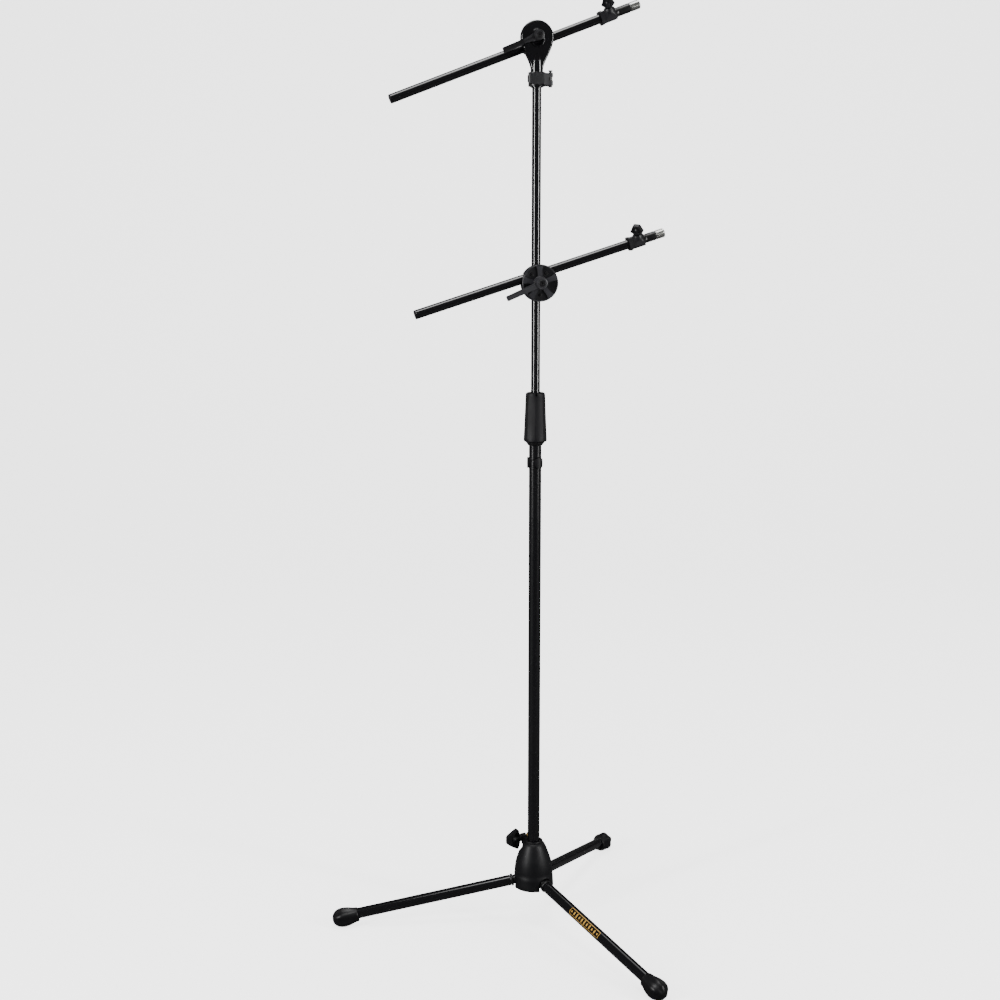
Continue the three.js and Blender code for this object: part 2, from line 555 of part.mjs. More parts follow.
// ---------- Lower clamp: a sleeve on the upper tube, two jaws and a lever ----------
function makeLowerClamp() {
  const { pivot, discRadius, front, rear, sleeveRadius, sleeveHeight } = clamp;
  const linerBore = upperTube.radius + 0.2;
  const linerRadius = linerBore + 1.2;
  const low = pivot - sleeveHeight / 2;
  const high = pivot + sleeveHeight / 2;
  const flange = linerRadius + 2;
  const liner = turned([[linerBore, low - 2], [flange, low - 2], [flange, low - clearance],
    [linerRadius, low - clearance], [linerRadius, high + 1], [linerBore, high + 1],
    [linerBore, low - 2]], sides.medium);
  piece(stand, "pole_liner", liner, nylon);

  const turret = group(stand);
  turret.rotation.z = yaw * degree;
  const sleeveBore = linerRadius + clearance;
  const ring = pipe(sleeveRadius, sleeveBore, low, high, sides.medium);
  const pad = alongY(rod(15, -sleeveRadius - 0.6, -5, sides.medium)).translate(0, 0, pivot);
  const poleBore = rod(sleeveBore, low - 1, high + 1, sides.medium);
  const studBore = alongY(rod(3.3, -20, 0, sides.small)).translate(0, 0, pivot);
  piece(turret, "clamp_sleeve", cut(join(ring, pad), poleBore, studBore), clampGrey);
  const stud = alongY(rod(3, -front - 8, -sleeveBore - 0.6, sides.small)).translate(0, 0, pivot);
  piece(turret, "lower_tilt_stud", stud, zinc);

  const tilting = group(turret, 0, 0, pivot);
  tilting.rotation.y = -clamp.tilt * degree;
  const { depth, rise } = lowerBoom;
  const way = rod(boomTube.radius + 0.25, -40, 40, sides.medium);
  const groove = alongX(way).translate(0, depth, rise);
  const studHole = alongY(rod(3.4, -60, 0, sides.small));
  const rearJaw = alongY(rod(28.4, depth + 0.3, -sleeveRadius - 0.9, sides.large));
  piece(tilting, "rear_jaw", cut(rearJaw, groove, studHole), clampGrey);

  const cup = alongY(turned([[0, -front], [30.4, -front], [discRadius, -front + 1.6], [discRadius, -rear],
    [28.9, -rear], [28.9, depth - 0.3], [0, depth - 0.3]], sides.large));
  const spokes = [93, 21, -50, -125, 170].map((angle) =>
    block(9, 30, -front - 2, -front + 1, -4.4, 4.4).rotateY(-(angle - clamp.tilt) * degree));
  const centreBoss = alongY(rod(12, -front - 2, -front + 1, sides.medium));
  const tubeWay = block(-40, 40, depth, 0, rise - boomTube.radius - 0.25, rise + boomTube.radius + 0.25);
  const screwSpots = [135, 57, -88].map((angle) => {
    const bearing = (angle - clamp.tilt) * degree;
    return { x: 20.5 * Math.cos(bearing), z: 20.5 * Math.sin(bearing) };
  });
  const screwHoles = screwSpots.map(({ x, z }) =>
    alongY(rod(2.5, -front - 1, -front + 2.6, sides.tiny)).translate(x, 0, z));
  const frontJaw = cut(join(cup, centreBoss, ...spokes), groove, tubeWay, studHole, ...screwHoles);
  piece(tilting, "front_jaw", frontJaw, clampGrey);
  screwSpots.forEach(({ x, z }, index) => {
    const screwBody = alongY(rod(2.2, -front - 0.6, -front + 2.3, sides.tiny));
    const screw = cut(screwBody, alongY(rod(1, -front - 2, -front + 0.6, sides.hexagon)));
    piece(tilting, `jaw_screw_${index + 1}`, screw.translate(x, 0, z), satinBlack);
  });

  const lever = group(turret, 0, 0, pivot);
  lever.rotation.y = -leverAngle * degree;
  const hubBack = -front - 2.4;
  const hubFront = hubBack - 13;
  const hub = alongY(turned([[0, hubFront], [8.6, hubFront], [9.8, hubFront + 1.5], [10.4, hubBack],
    [0, hubBack]], sides.medium));
  const armShape = outline([[3, -7], [14, -4.9], [66, -4.4], [66, 4.4], [14, 4.9], [3, 7]], 1.5);
  const arm = upright(armShape, hubFront + 2.5, hubFront + 9);
  const recess = alongY(rod(6.2, hubFront - 1, hubFront + 3, sides.small));
  const leverBore = alongY(rod(3.3, -front - 8.4, 0, sides.small));
  piece(lever, "lower_tilt_lever", cut(join(hub, arm), recess, leverBore), clampGrey);
  const socket = alongY(rod(2.4, hubFront - 2, hubFront + 1.8, sides.hexagon));
  const screwHead = alongY(rod(5.8, hubFront - 0.3, hubFront + 2.6, sides.small));
  piece(lever, "lower_lever_screw", cut(screwHead, socket), satinBlack);

  makeArm(tilting, "lower", lowerBoom);
}

makeBase();
makeLegs();
makePole();
makeUpperHead();
makeLowerClamp();

// The origin is the centre of the stand's box, on the floor.
const box = new THREE.Box3().setFromObject(stand, true);
stand.position.set(-(box.min.x + box.max.x) / 2, -(box.min.y + box.max.y) / 2, -box.min.z);
const standAssembly = new THREE.Group();
standAssembly.add(stand);

export default standAssembly;
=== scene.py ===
import json
import math

import bmesh
import bpy
from mathutils import Matrix, Vector


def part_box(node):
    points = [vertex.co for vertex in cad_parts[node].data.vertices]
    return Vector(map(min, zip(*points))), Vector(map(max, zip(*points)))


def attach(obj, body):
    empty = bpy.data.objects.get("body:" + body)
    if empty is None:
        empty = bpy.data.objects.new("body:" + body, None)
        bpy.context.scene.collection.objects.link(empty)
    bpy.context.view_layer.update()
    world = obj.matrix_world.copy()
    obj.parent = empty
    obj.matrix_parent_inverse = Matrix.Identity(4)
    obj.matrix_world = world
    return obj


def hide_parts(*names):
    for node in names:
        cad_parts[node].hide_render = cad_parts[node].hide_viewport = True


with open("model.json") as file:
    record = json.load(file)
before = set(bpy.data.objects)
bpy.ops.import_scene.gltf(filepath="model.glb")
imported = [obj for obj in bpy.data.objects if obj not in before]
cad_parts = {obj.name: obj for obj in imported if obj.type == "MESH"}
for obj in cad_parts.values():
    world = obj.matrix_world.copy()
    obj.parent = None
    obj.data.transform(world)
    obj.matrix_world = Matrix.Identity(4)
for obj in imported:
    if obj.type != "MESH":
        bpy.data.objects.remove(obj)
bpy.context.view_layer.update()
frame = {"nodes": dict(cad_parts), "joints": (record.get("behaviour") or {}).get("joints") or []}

# ---------- The stand as it comes from CAD ----------
# The upper tube's box from CAD, and from it the pole's axis at floor level, which every turned piece of the
# pole and the base is centred on.
joints = {joint["name"]: joint for joint in frame["joints"]}
tube_low, tube_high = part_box("upper_tube")
pole_foot = Vector(((tube_low.x + tube_high.x) / 2, (tube_low.y + tube_high.y) / 2, 0))

# ---------- Camera ----------
# A portrait lens a little over 2.5 metres from the pole, level with the clutch and tipped down at the stand.
camera_data = bpy.data.cameras.new("camera")
camera_data.lens = 52.31
camera_data.sensor_width = 36
camera = bpy.data.objects.new("camera", camera_data)
camera.location = pole_foot + Vector((0, -2.5717, 1.2588))
camera.rotation_euler = (math.radians(79.99), 0, math.radians(1.40))
bpy.context.scene.collection.objects.link(camera)
bpy.context.scene.camera = camera

# ---------- Studio ----------
# A white floor that sweeps up into a back wall and glows a little, two tall strip boxes that draw the long
# highlights on the tubes, an overhead for the top edges of booms and legs, a fill over the floor, and two dim
# boxes behind. What the gloss mirrors of the room itself is dark.
studio_white = (0.92, 0.92, 0.92, 1)
mirrored_grey = (0.1, 0.1, 0.1, 1)
glow_for_camera = 2.6
studio_half_width = 7
cove = bmesh.new()
sweep_line = [(-4.5, 0.0), (3.0, 0.0), (3.6, 0.1), (4.05, 0.45), (4.2, 1.0), (4.2, 6.0)]
row = [cove.verts.new((-studio_half_width, y, z - 0.0005)) for y, z in sweep_line]
edges = [cove.edges.new(pair) for pair in zip(row, row[1:])]
swept = bmesh.ops.extrude_edge_only(cove, edges=edges)["geom"]
far_row = [item for item in swept if isinstance(item, bmesh.types.BMVert)]
bmesh.ops.translate(cove, vec=(2 * studio_half_width, 0, 0), verts=far_row)
bmesh.ops.recalc_face_normals(cove, faces=cove.faces)
cove_mesh = bpy.data.meshes.new("studio_floor")
cove.to_mesh(cove_mesh)
cove.free()
cove_mesh.shade_smooth()
studio_floor = bpy.data.objects.new("studio_floor", cove_mesh)
bpy.context.scene.collection.objects.link(studio_floor)
floor_paint = bpy.data.materials.new("studio_white")
floor_paint.use_nodes = True
floor_tree = floor_paint.node_tree
floor_shader = floor_tree.nodes["Principled BSDF"]
floor_shader.inputs["Roughness"].default_value = 0.9
floor_shader.inputs["Specular IOR Level"].default_value = 0.0
floor_shader.inputs["Emission Color"].default_value = (1, 1, 1, 1)
floor_rays = floor_tree.nodes.new("ShaderNodeLightPath")
floor_colour = floor_tree.nodes.new("ShaderNodeMix")
floor_colour.data_type = "RGBA"
floor_colour.inputs[6].default_value = studio_white
floor_colour.inputs[7].default_value = mirrored_grey
floor_tree.links.new(floor_rays.outputs["Is Glossy Ray"], floor_colour.inputs["Factor"])
floor_tree.links.new(floor_colour.outputs[2], floor_shader.inputs["Base Color"])
floor_glow = floor_tree.nodes.new("ShaderNodeMath")
floor_glow.operation = "MULTIPLY"
floor_glow.inputs[1].default_value = glow_for_camera
floor_tree.links.new(floor_rays.outputs["Is Camera Ray"], floor_glow.inputs[0])
floor_tree.links.new(floor_glow.outputs[0], floor_shader.inputs["Emission Strength"])
studio_floor.data.materials.append(floor_paint)

surround = bpy.data.worlds.new("surround")
surround.use_nodes = True
sky = surround.node_tree
room_rays = sky.nodes.new("ShaderNodeLightPath")
room_light = sky.nodes.new("ShaderNodeMapRange")
room_light.inputs["To Min"].default_value = 0.12
room_light.inputs["To Max"].default_value = 3.2
sky.links.new(room_rays.outputs["Is Camera Ray"], room_light.inputs["Value"])
sky.links.new(room_light.outputs["Result"], sky.nodes["Background"].inputs["Strength"])
sky.nodes["Background"].inputs["Color"].default_value = (1, 1, 1, 1)
bpy.context.scene.world = surround


def soft_box(name, place, target, width, height, power):
    light = bpy.data.lights.new(name, "AREA")
    light.shape = "RECTANGLE"
    light.size = width
    light.size_y = height
    light.energy = power
    lamp = bpy.data.objects.new(name, light)
    lamp.location = place
    lamp.rotation_euler = (Vector(target) - Vector(place)).to_track_quat("-Z", "Y").to_euler()
    bpy.context.scene.collection.objects.link(lamp)


soft_box("left_strip", (-2.3, -1.9, 1.55), (0, 0, 1.2), 0.22, 1.8, 85)
soft_box("right_strip", (2.6, -1.3, 1.55), (0, 0, 1.2), 0.24, 1.8, 70)
soft_box("overhead_box", (-0.2, -0.5, 3.5), (-0.1, -0.3, 0), 1.2, 1.3, 36)
soft_box("floor_fill", (0.2, 0.9, 4.4), (0, 0.9, 0), 3.6, 1.6, 40)
soft_box("back_left_box", (-2.4, 2.2, 1.6), (0, 0, 1.1), 0.9, 1.8, 5)
soft_box("back_right_box", (2.4, 2.2, 1.6), (0, 0, 1.1), 0.9, 1.8, 5)

# ---------- Base housing ----------
# The bell that holds the legs and grips the lower tube: one glass-filled nylon moulding with a fine spark
# finish, three arches that the legs hinge in, and a split neck with two ears for the clamp bolt.
def placed(origin, along=(1, 0, 0), back=(0, 1, 0)):
    """Millimetres drawn on X along, Y back and Z = X x Y become metres at origin."""
    x_axis = Vector(along).normalized()
    y_axis = Vector(back).normalized()
    turn = Matrix((x_axis, y_axis, x_axis.cross(y_axis))).transposed().to_4x4()
    turn.translation = origin
    return turn @ Matrix.Scale(0.001, 4)


on_pole = placed(pole_foot)
along_x = Matrix.Rotation(math.radians(90), 4, "Y")
along_y = Matrix.Rotation(math.radians(-90), 4, "X")


def about_z(degrees):
    return Matrix.Rotation(math.radians(degrees), 4, "Z")


def moved(shape, matrix):
    bmesh.ops.transform(shape, matrix=matrix, verts=shape.verts)
    return shape


def turned(profile, steps=96):
    """A closed [radius, height] outline spun about Z."""
    shape = bmesh.new()
    corners = [shape.verts.new((radius, 0, height)) for radius, height in profile]
    ends = corners[1:] if profile[0][0] == 0 and profile[-1][0] == 0 else corners[1:] + corners[:1]
    edges = [shape.edges.new(pair) for pair in zip(corners, ends)]
    bmesh.ops.spin(shape, geom=corners + edges, axis=(0, 0, 1), angle=math.tau, steps=steps, use_merge=True)
    bmesh.ops.remove_doubles(shape, verts=shape.verts, dist=1e-4)
    bmesh.ops.recalc_face_normals(shape, faces=shape.faces)
    return shape


def pipe(radius, bore, bottom, top, steps=64):
    return turned([(bore, bottom), (radius, bottom), (radius, top), (bore, top)], steps)


def rod(radius, bottom, top, steps=48):
    return turned([(0, bottom), (radius, bottom), (radius, top), (0, top)], steps)


def block(x0, x1, y0, y1, z0, z1):
    shape = bmesh.new()
    bmesh.ops.create_cube(shape, size=1)
    middle = Matrix.Translation(((x0 + x1) / 2, (y0 + y1) / 2, (z0 + z1) / 2))
    return moved(shape, middle @ Matrix.Diagonal((x1 - x0, y1 - y0, z1 - z0, 1)))


def slab(corners, bottom, top, rounding=0.0, segments=6):
    """An outline in XY with its corners rounded, made solid between two heights."""
    shape = bmesh.new()
    face = shape.faces.new([shape.verts.new((x, y, bottom)) for x, y in corners])
    if rounding:
        bmesh.ops.bevel(shape, geom=list(face.verts), offset=rounding, offset_type="OFFSET",
                        segments=segments, profile=0.5, affect="VERTICES", material=-1)
    grown = bmesh.ops.extrude_face_region(shape, geom=list(shape.faces))["geom"]
    risen = [item for item in grown if isinstance(item, bmesh.types.BMVert)]
    bmesh.ops.translate(shape, vec=(0, 0, top - bottom), verts=risen)
    bmesh.ops.recalc_face_normals(shape, faces=shape.faces)
    return shape


def loose_object(shape):
    mesh = bpy.data.meshes.new("part")
    shape.to_mesh(mesh)
    shape.free()
    made = bpy.data.objects.new("part", mesh)
    bpy.context.scene.collection.objects.link(made)
    return made


def combined(operation, first, *others):
    """The first shape joined to, cut by or shared with each of the others in turn."""
    for other in others:
        whole, tool = loose_object(first), loose_object(other)
        step = whole.modifiers.new("step", "BOOLEAN")
        step.operation = operation
        step.solver = "EXACT"
        step.object = tool
        bpy.context.view_layer.update()
        result = bpy.data.meshes.new_from_object(whole.evaluated_get(bpy.context.evaluated_depsgraph_get()))
        first = bmesh.new()
        first.from_mesh(result)
        bmesh.ops.remove_doubles(first, verts=first.verts, dist=1e-4)
        for scrap in (whole, tool):
            bpy.data.meshes.remove(scrap.data)
        bpy.data.meshes.remove(result)
    return first


def join(first, *others):
    return combined("UNION", first, *others)


def cut(first, *others):
    return combined("DIFFERENCE", first, *others)


def ease_edges(piece, width, segments=3):
    """Small rounded edges, as on every moulded, cast or turned piece."""
    ease = piece.modifiers.new("eased_edges", "BEVEL")
    ease.width = width
    ease.segments = segments
    ease.limit_method = "ANGLE"
    ease.angle_limit = math.radians(32)
    ease.harden_normals = True
    ease.use_clamp_overlap = True


def arc(x, z, radius, start, end, steps=40):
    turns = [math.radians(start + (end - start) * step / steps) for step in range(steps + 1)]
    return [(x + radius * math.cos(turn), z + radius * math.sin(turn)) for turn in turns]


def make_piece(name, shape, place, body, finish, stands_for=(), edge=0.0003):
    moved(shape, place)
    mesh = bpy.data.meshes.new(name)
    shape.to_mesh(mesh)
    shape.free()
    mesh.materials.append(finish)
    mesh.shade_smooth()
    piece = bpy.data.objects.new(name, mesh)
    bpy.context.scene.collection.objects.link(piece)
    if edge:
        ease_edges(piece, edge)
    else:
        mesh.set_sharp_from_angle(angle=math.radians(40))
    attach(piece, body)
    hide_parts(*stands_for)
    return piece


def keep_node(name, finish, edge=0.0003):
    """A CAD node that stays: its facets are merged into clean faces with eased edges."""
    node = frame["nodes"][name]
    node.data.materials.clear()
    node.data.materials.append(finish)
    node.data.shade_smooth()
    weld = node.modifiers.new("weld", "WELD")
    weld.merge_threshold = 0.00001
    clean = node.modifiers.new("clean_faces", "DECIMATE")
    clean.decimate_type = "DISSOLVE"
    clean.angle_limit = math.radians(2)
    ease_edges(node, edge, 2)


def link(tree, source, target):
    tree.links.new(source, target)


def effect_group(name, inputs, outputs):
    """An empty node group with named inputs and outputs, and its two end nodes."""
    tree = bpy.data.node_groups.new(name, "ShaderNodeTree")
    for title, value in inputs.items():
        tree.interface.new_socket(title, in_out="INPUT", socket_type="NodeSocketFloat").default_value = value
    for title in outputs:
        tree.interface.new_socket(title, in_out="OUTPUT", socket_type="NodeSocketFloat")
    return tree, tree.nodes.new("NodeGroupInput"), tree.nodes.new("NodeGroupOutput")


def noise_on(tree, source, scale_socket, detail, roughness=0.5):
    noise = tree.nodes.new("ShaderNodeTexNoise")
    noise.inputs["Detail"].default_value = detail
    noise.inputs["Roughness"].default_value = roughness
    link(tree, source, noise.inputs["Vector"])
    link(tree, scale_socket, noise.inputs["Scale"])
    return noise.outputs["Fac"]


def remapped(tree, value, low, high, to_low=0.0, to_high=1.0):
    step = tree.nodes.new("ShaderNodeMapRange")
    step.inputs["From Min"].default_value = low
    step.inputs["From Max"].default_value = high
    step.inputs["To Min"].default_value = to_low
    step.inputs["To Max"].default_value = to_high
    link(tree, value, step.inputs["Value"])
    return step.outputs["Result"]


def maths(tree, operation, first, second):
    step = tree.nodes.new("ShaderNodeMath")
    step.operation = operation
    for socket, value in zip(step.inputs, (first, second)):
        if isinstance(value, (int, float)):
            socket.default_value = value
        else:
            link(tree, value, socket)
    return step.outputs["Value"]


# Grain: the fine texture of a moulded or coated surface, as a height, with larger soft unevenness under it.
grain_group, grain_in, grain_out = effect_group("surface_grain", {"Scale": 900.0, "Swell": 0.3}, ["Height"])
grain_place = grain_group.nodes.new("ShaderNodeTexCoord").outputs["Object"]
fine = noise_on(grain_group, grain_place, grain_in.outputs["Scale"], 3)
broad_scale = maths(grain_group, "MULTIPLY", grain_in.outputs["Scale"], 0.07)
broad = noise_on(grain_group, grain_place, broad_scale, 2)
swell = maths(grain_group, "MULTIPLY", broad, grain_in.outputs["Swell"])
link(grain_group, maths(grain_group, "ADD", fine, swell), grain_out.inputs["Height"])

# Handling: smudges and thin rub marks from hands and cases, and a film of dust that settles in patches.
marks_group, marks_in, marks_out = effect_group("handling_marks", {"Scale": 30.0, "Amount": 1.0},
                                                ["Smudge", "Scratch", "Dust"])
marks_place = marks_group.nodes.new("ShaderNodeTexCoord").outputs["Object"]
smudge = remapped(marks_group, noise_on(marks_group, marks_place, marks_in.outputs["Scale"], 4), 0.42, 0.72)
stretch = marks_group.nodes.new("ShaderNodeMapping")
stretch.inputs["Rotation"].default_value = (0.6, 0.9, 0.3)
stretch.inputs["Scale"].default_value = (1, 14, 14)
link(marks_group, marks_place, stretch.inputs["Vector"])
scratch_scale = maths(marks_group, "MULTIPLY", marks_in.outputs["Scale"], 2.2)
scratch_noise = noise_on(marks_group, stretch.outputs["Vector"], scratch_scale, 6, 0.65)
scratch = remapped(marks_group, scratch_noise, 0.62, 0.74)
dust_scale = maths(marks_group, "MULTIPLY", marks_in.outputs["Scale"], 0.4)
dust = remapped(marks_group, noise_on(marks_group, marks_place, dust_scale, 8, 0.7), 0.45, 0.8)
for title, value in (("Smudge", smudge), ("Scratch", scratch), ("Dust", dust)):
    link(marks_group, maths(marks_group, "MULTIPLY", value, marks_in.outputs["Amount"]),
         marks_out.inputs[title])


def add_group(tree, group, **values):
    node = tree.nodes.new("ShaderNodeGroup")
    node.node_tree = group
    for title, value in values.items():
        node.inputs[title].default_value = value
    return node


def tinted(tree, factor, first, second):
    mix = tree.nodes.new("ShaderNodeMix")
    mix.data_type = "RGBA"
    link(tree, factor, mix.inputs["Factor"])
    for socket, value in ((mix.inputs[6], first), (mix.inputs[7], second)):
        if isinstance(value, tuple):
            socket.default_value = (*value, 1)
        else:
            link(tree, value, socket)
    return mix.outputs[2]


def make_finish(name, colour, rubbed, roughness, grain, depth, marks=40.0, amount=0.5, metallic=0.0, coat=0.0,
                sheen=0.0, swell=0.3, specular=0.5):
    """A coated, moulded or plated surface: grain in its relief, handling marks in its colour and gloss."""
    finish = bpy.data.materials.new(name)
    finish.use_nodes = True
    tree = finish.node_tree
    shader = tree.nodes["Principled BSDF"]
    shader.inputs["Metallic"].default_value = metallic
    shader.inputs["Coat Weight"].default_value = coat
    shader.inputs["Coat Roughness"].default_value = 0.08
    shader.inputs["Sheen Weight"].default_value = sheen
    shader.inputs["Specular IOR Level"].default_value = specular
    handling = add_group(tree, marks_group, Scale=marks, Amount=amount)
    worn = tinted(tree, handling.outputs["Scratch"], colour, rubbed)
    dusty = tuple(channel * 0.75 + 0.012 for channel in rubbed)
    thin_dust = maths(tree, "MULTIPLY", handling.outputs["Dust"], 0.2)
    link(tree, tinted(tree, thin_dust, worn, dusty), shader.inputs["Base Color"])
    duller = maths(tree, "MULTIPLY", handling.outputs["Smudge"], 0.16)
    scuffed = maths(tree, "MULTIPLY", handling.outputs["Scratch"], 0.12)
    varied = maths(tree, "ADD", maths(tree, "ADD", duller, scuffed), roughness)
    link(tree, varied, shader.inputs["Roughness"])
    relief = add_group(tree, grain_group, Scale=grain, Swell=swell)
    bump = tree.nodes.new("ShaderNodeBump")
    bump.inputs["Strength"].default_value = 0.6
    bump.inputs["Distance"].default_value = depth
    link(tree, relief.outputs["Height"], bump.inputs["Height"])
    link(tree, bump.outputs["Normal"], shader.inputs["Normal"])
    return finish


moulded_nylon = make_finish("moulded_nylon", (0.0033, 0.0032, 0.0043), (0.013, 0.013, 0.015), 0.45, 1500,
                            0.0001, specular=0.3)
plain_nylon = make_finish("plain_nylon", (0.004, 0.004, 0.0045), (0.015, 0.015, 0.015), 0.45, 900, 0.0001)
bright_zinc = make_finish("bright_zinc", (0.72, 0.72, 0.7), (0.5, 0.5, 0.49), 0.2, 700, 0.00005, metallic=1.0)
turned_brass = make_finish("turned_brass", (0.72, 0.5, 0.2), (0.5, 0.33, 0.13), 0.25, 700, 0.00005,
                           metallic=1.0)

bush_bore = 12.9
pin_height = 83
arch_half = 11.6
bell_outline = [(24, 70), (36.4, 70), (37.3, 70.5), (37.6, 72), (37.2, 78), (36.6, 88), (36.2, 94),
                (35.5, 95.2), (35.4, 101), (34.9, 107), (34.1, 113), (32.9, 119), (31.2, 125), (29.2, 131),
                (27.0, 137), (24.9, 142.5), (22.8, 147.5), (20.6, 151.6), (18.6, 154.2), (17.0, 155.4),
                (16.9, 158), (16.2, 159), (bush_bore, 159), (bush_bore, 128), (20, 112), (20, 73)]
bell = turned(bell_outline, 120)
clamp_turn = about_z(120)
ear_reach, ear_height, ear_outer, slit_half = 25, 156, 11.5, 3.5
ear = moved(rod(8, -ear_outer, ear_outer), Matrix.Translation((ear_reach, 0, ear_height)) @ along_y)
ear_root = block(14, ear_reach + 0.4, 0.06 - ear_outer, ear_outer - 0.06, ear_height - 12, ear_height + 2.6)
bell = join(bell, moved(ear, clamp_turn), moved(ear_root, clamp_turn))
leg_sides = {}
across = Matrix(((0, 0, 1, 0), (1, 0, 0, 0), (0, 1, 0, 0), (0, 0, 0, 1)))
arches = []
for number in (1, 2, 3):
    hinge = Vector(joints[f"leg_{number}_fold"]["axis"])
    spoke = hinge.cross(Vector((0, 0, 1)))
    leg_sides[number] = math.degrees(math.atan2(spoke.y, spoke.x))
    arch = slab([(-arch_half, -23), (arch_half, -23), *arc(0, 0, arch_half, 0, 180, 32)], 15, 46)
    arch = moved(arch, Matrix.Translation((0, 0, pin_height)) @ across)
    arches.append(moved(arch, about_z(leg_sides[number])))
ear_slit = moved(block(8, 40, -slit_half, slit_half, ear_height - 14, ear_height + 12), clamp_turn)
ear_place = clamp_turn @ Matrix.Translation((ear_reach, 0, ear_height)) @ along_y
knob_sweep = 21.5
ear_bore = moved(rod(3.3, -20, 20), ear_place)
knob_way = moved(rod(knob_sweep, ear_outer + 0.1, 60, 96), ear_place)
bell = cut(bell, rod(bush_bore + 0.06, 121, 175, 120), ear_slit, knob_way, ear_bore, *arches)
make_piece("housing_bell", bell, on_pole, "base", moulded_nylon, ["base_housing"], 0.0004)
keep_node("base_bush", plain_nylon)
for number in (1, 2, 3):
    keep_node(f"leg_pin_{number}", bright_zinc)
keep_node("base_clamp_nut", turned_brass)

# ---------- Base clamp knob ----------
# A paddle wing of moulded nylon on the clamp bolt's end: a raised rim round a pocket on each face, and a
# round hub. The hexagon bolt under it is bright zinc-plated steel.
def paddle(span, tip, neck, length, thickness, hub, rounding=2.6, pocket=2.0):
    """A wing in XY, its hub on X, with a rimmed pocket in both faces."""
    middle = neck + (length - neck) * 0.5
    corners = [(neck, -hub), (neck + 4, -span / 2), (middle, -span / 2.6), (length, -tip / 2),
               (length, tip / 2), (middle, span / 2.6), (neck + 4, span / 2), (neck, hub)]
    inner = [(middle + (x - middle) * 0.7, y * 0.72) for x, y in corners]
    wing = slab(corners, -thickness / 2, thickness / 2, rounding, 6)
    hollows = [slab(inner, thickness / 2 - pocket, thickness, rounding * 0.6),
               slab(inner, -thickness, pocket - thickness / 2, rounding * 0.6)]
    boss = moved(turned([(0, 0), (hub - 0.6, 0), (hub, 0.6), (hub - 0.5, middle), (hub - 2, middle + 2),
                         (0, middle + 2.6)], 48), along_x)
    return join(cut(wing, *hollows), boss)


clamp_place = on_pole @ Matrix.Translation((0, 0, ear_height)) @ clamp_turn
base_wing = cut(paddle(40, 15, 5, 31, 9, 6.5, 3.2), moved(rod(3.3, -1, 11), along_x))
quarter_turns = Matrix.Rotation(math.radians(90), 4, "Y") @ about_z(90)
base_wing_place = clamp_place @ Matrix.Translation((ear_reach, ear_outer + 0.4, 0)) @ quarter_turns
make_piece("clamp_paddle", base_wing, base_wing_place, "base_knob", moulded_nylon,
           ["base_knob"], 0.0004)
keep_node("base_clamp_bolt", bright_zinc)

# ---------- Legs ----------
# Steel tube under gloss black powder coat, pressed on to a die-cast knuckle that turns on a cross pin, with a
# ferrule where they meet. A moulded rubber boot with broad flutes closes each outer end, flat on the floor.
gloss_black = make_finish("gloss_black_coat", (0.0024, 0.0023, 0.0032), (0.014, 0.014, 0.016), 0.13, 420,
                          0.000003, marks=26, amount=0.15, coat=0.3, swell=1.2)
satin_black = make_finish("satin_black_coat", (0.004, 0.004, 0.0045), (0.02, 0.02, 0.021), 0.32, 1100,
                          0.00005)
boot_rubber = make_finish("boot_rubber", (0.0027, 0.0026, 0.0034), (0.01, 0.01, 0.011), 0.36, 1300, 0.00007,
                          marks=60, amount=0.6, specular=0.35)
leg_slope = math.radians(11.1)
leg_radius, leg_bore, leg_end = 9.8, 8.5, 322
boot_outline = [(0, -23.6), (12.2, -23.6), (13.0, -22.8), (13.3, -20), (14.2, -15.5), (15.5, -10.5),
                (16.7, -5.5), (17.5, -0.5), (17.9, 4), (17.7, 8), (16.9, 12), (15.4, 15.8), (12.9, 19.4),
                (9.4, 22.6), (5.4, 24.4), (0, 25)]
boot_middle, boot_drop, flute_count, flute_depth = 330, 1.8, 6, 1.0
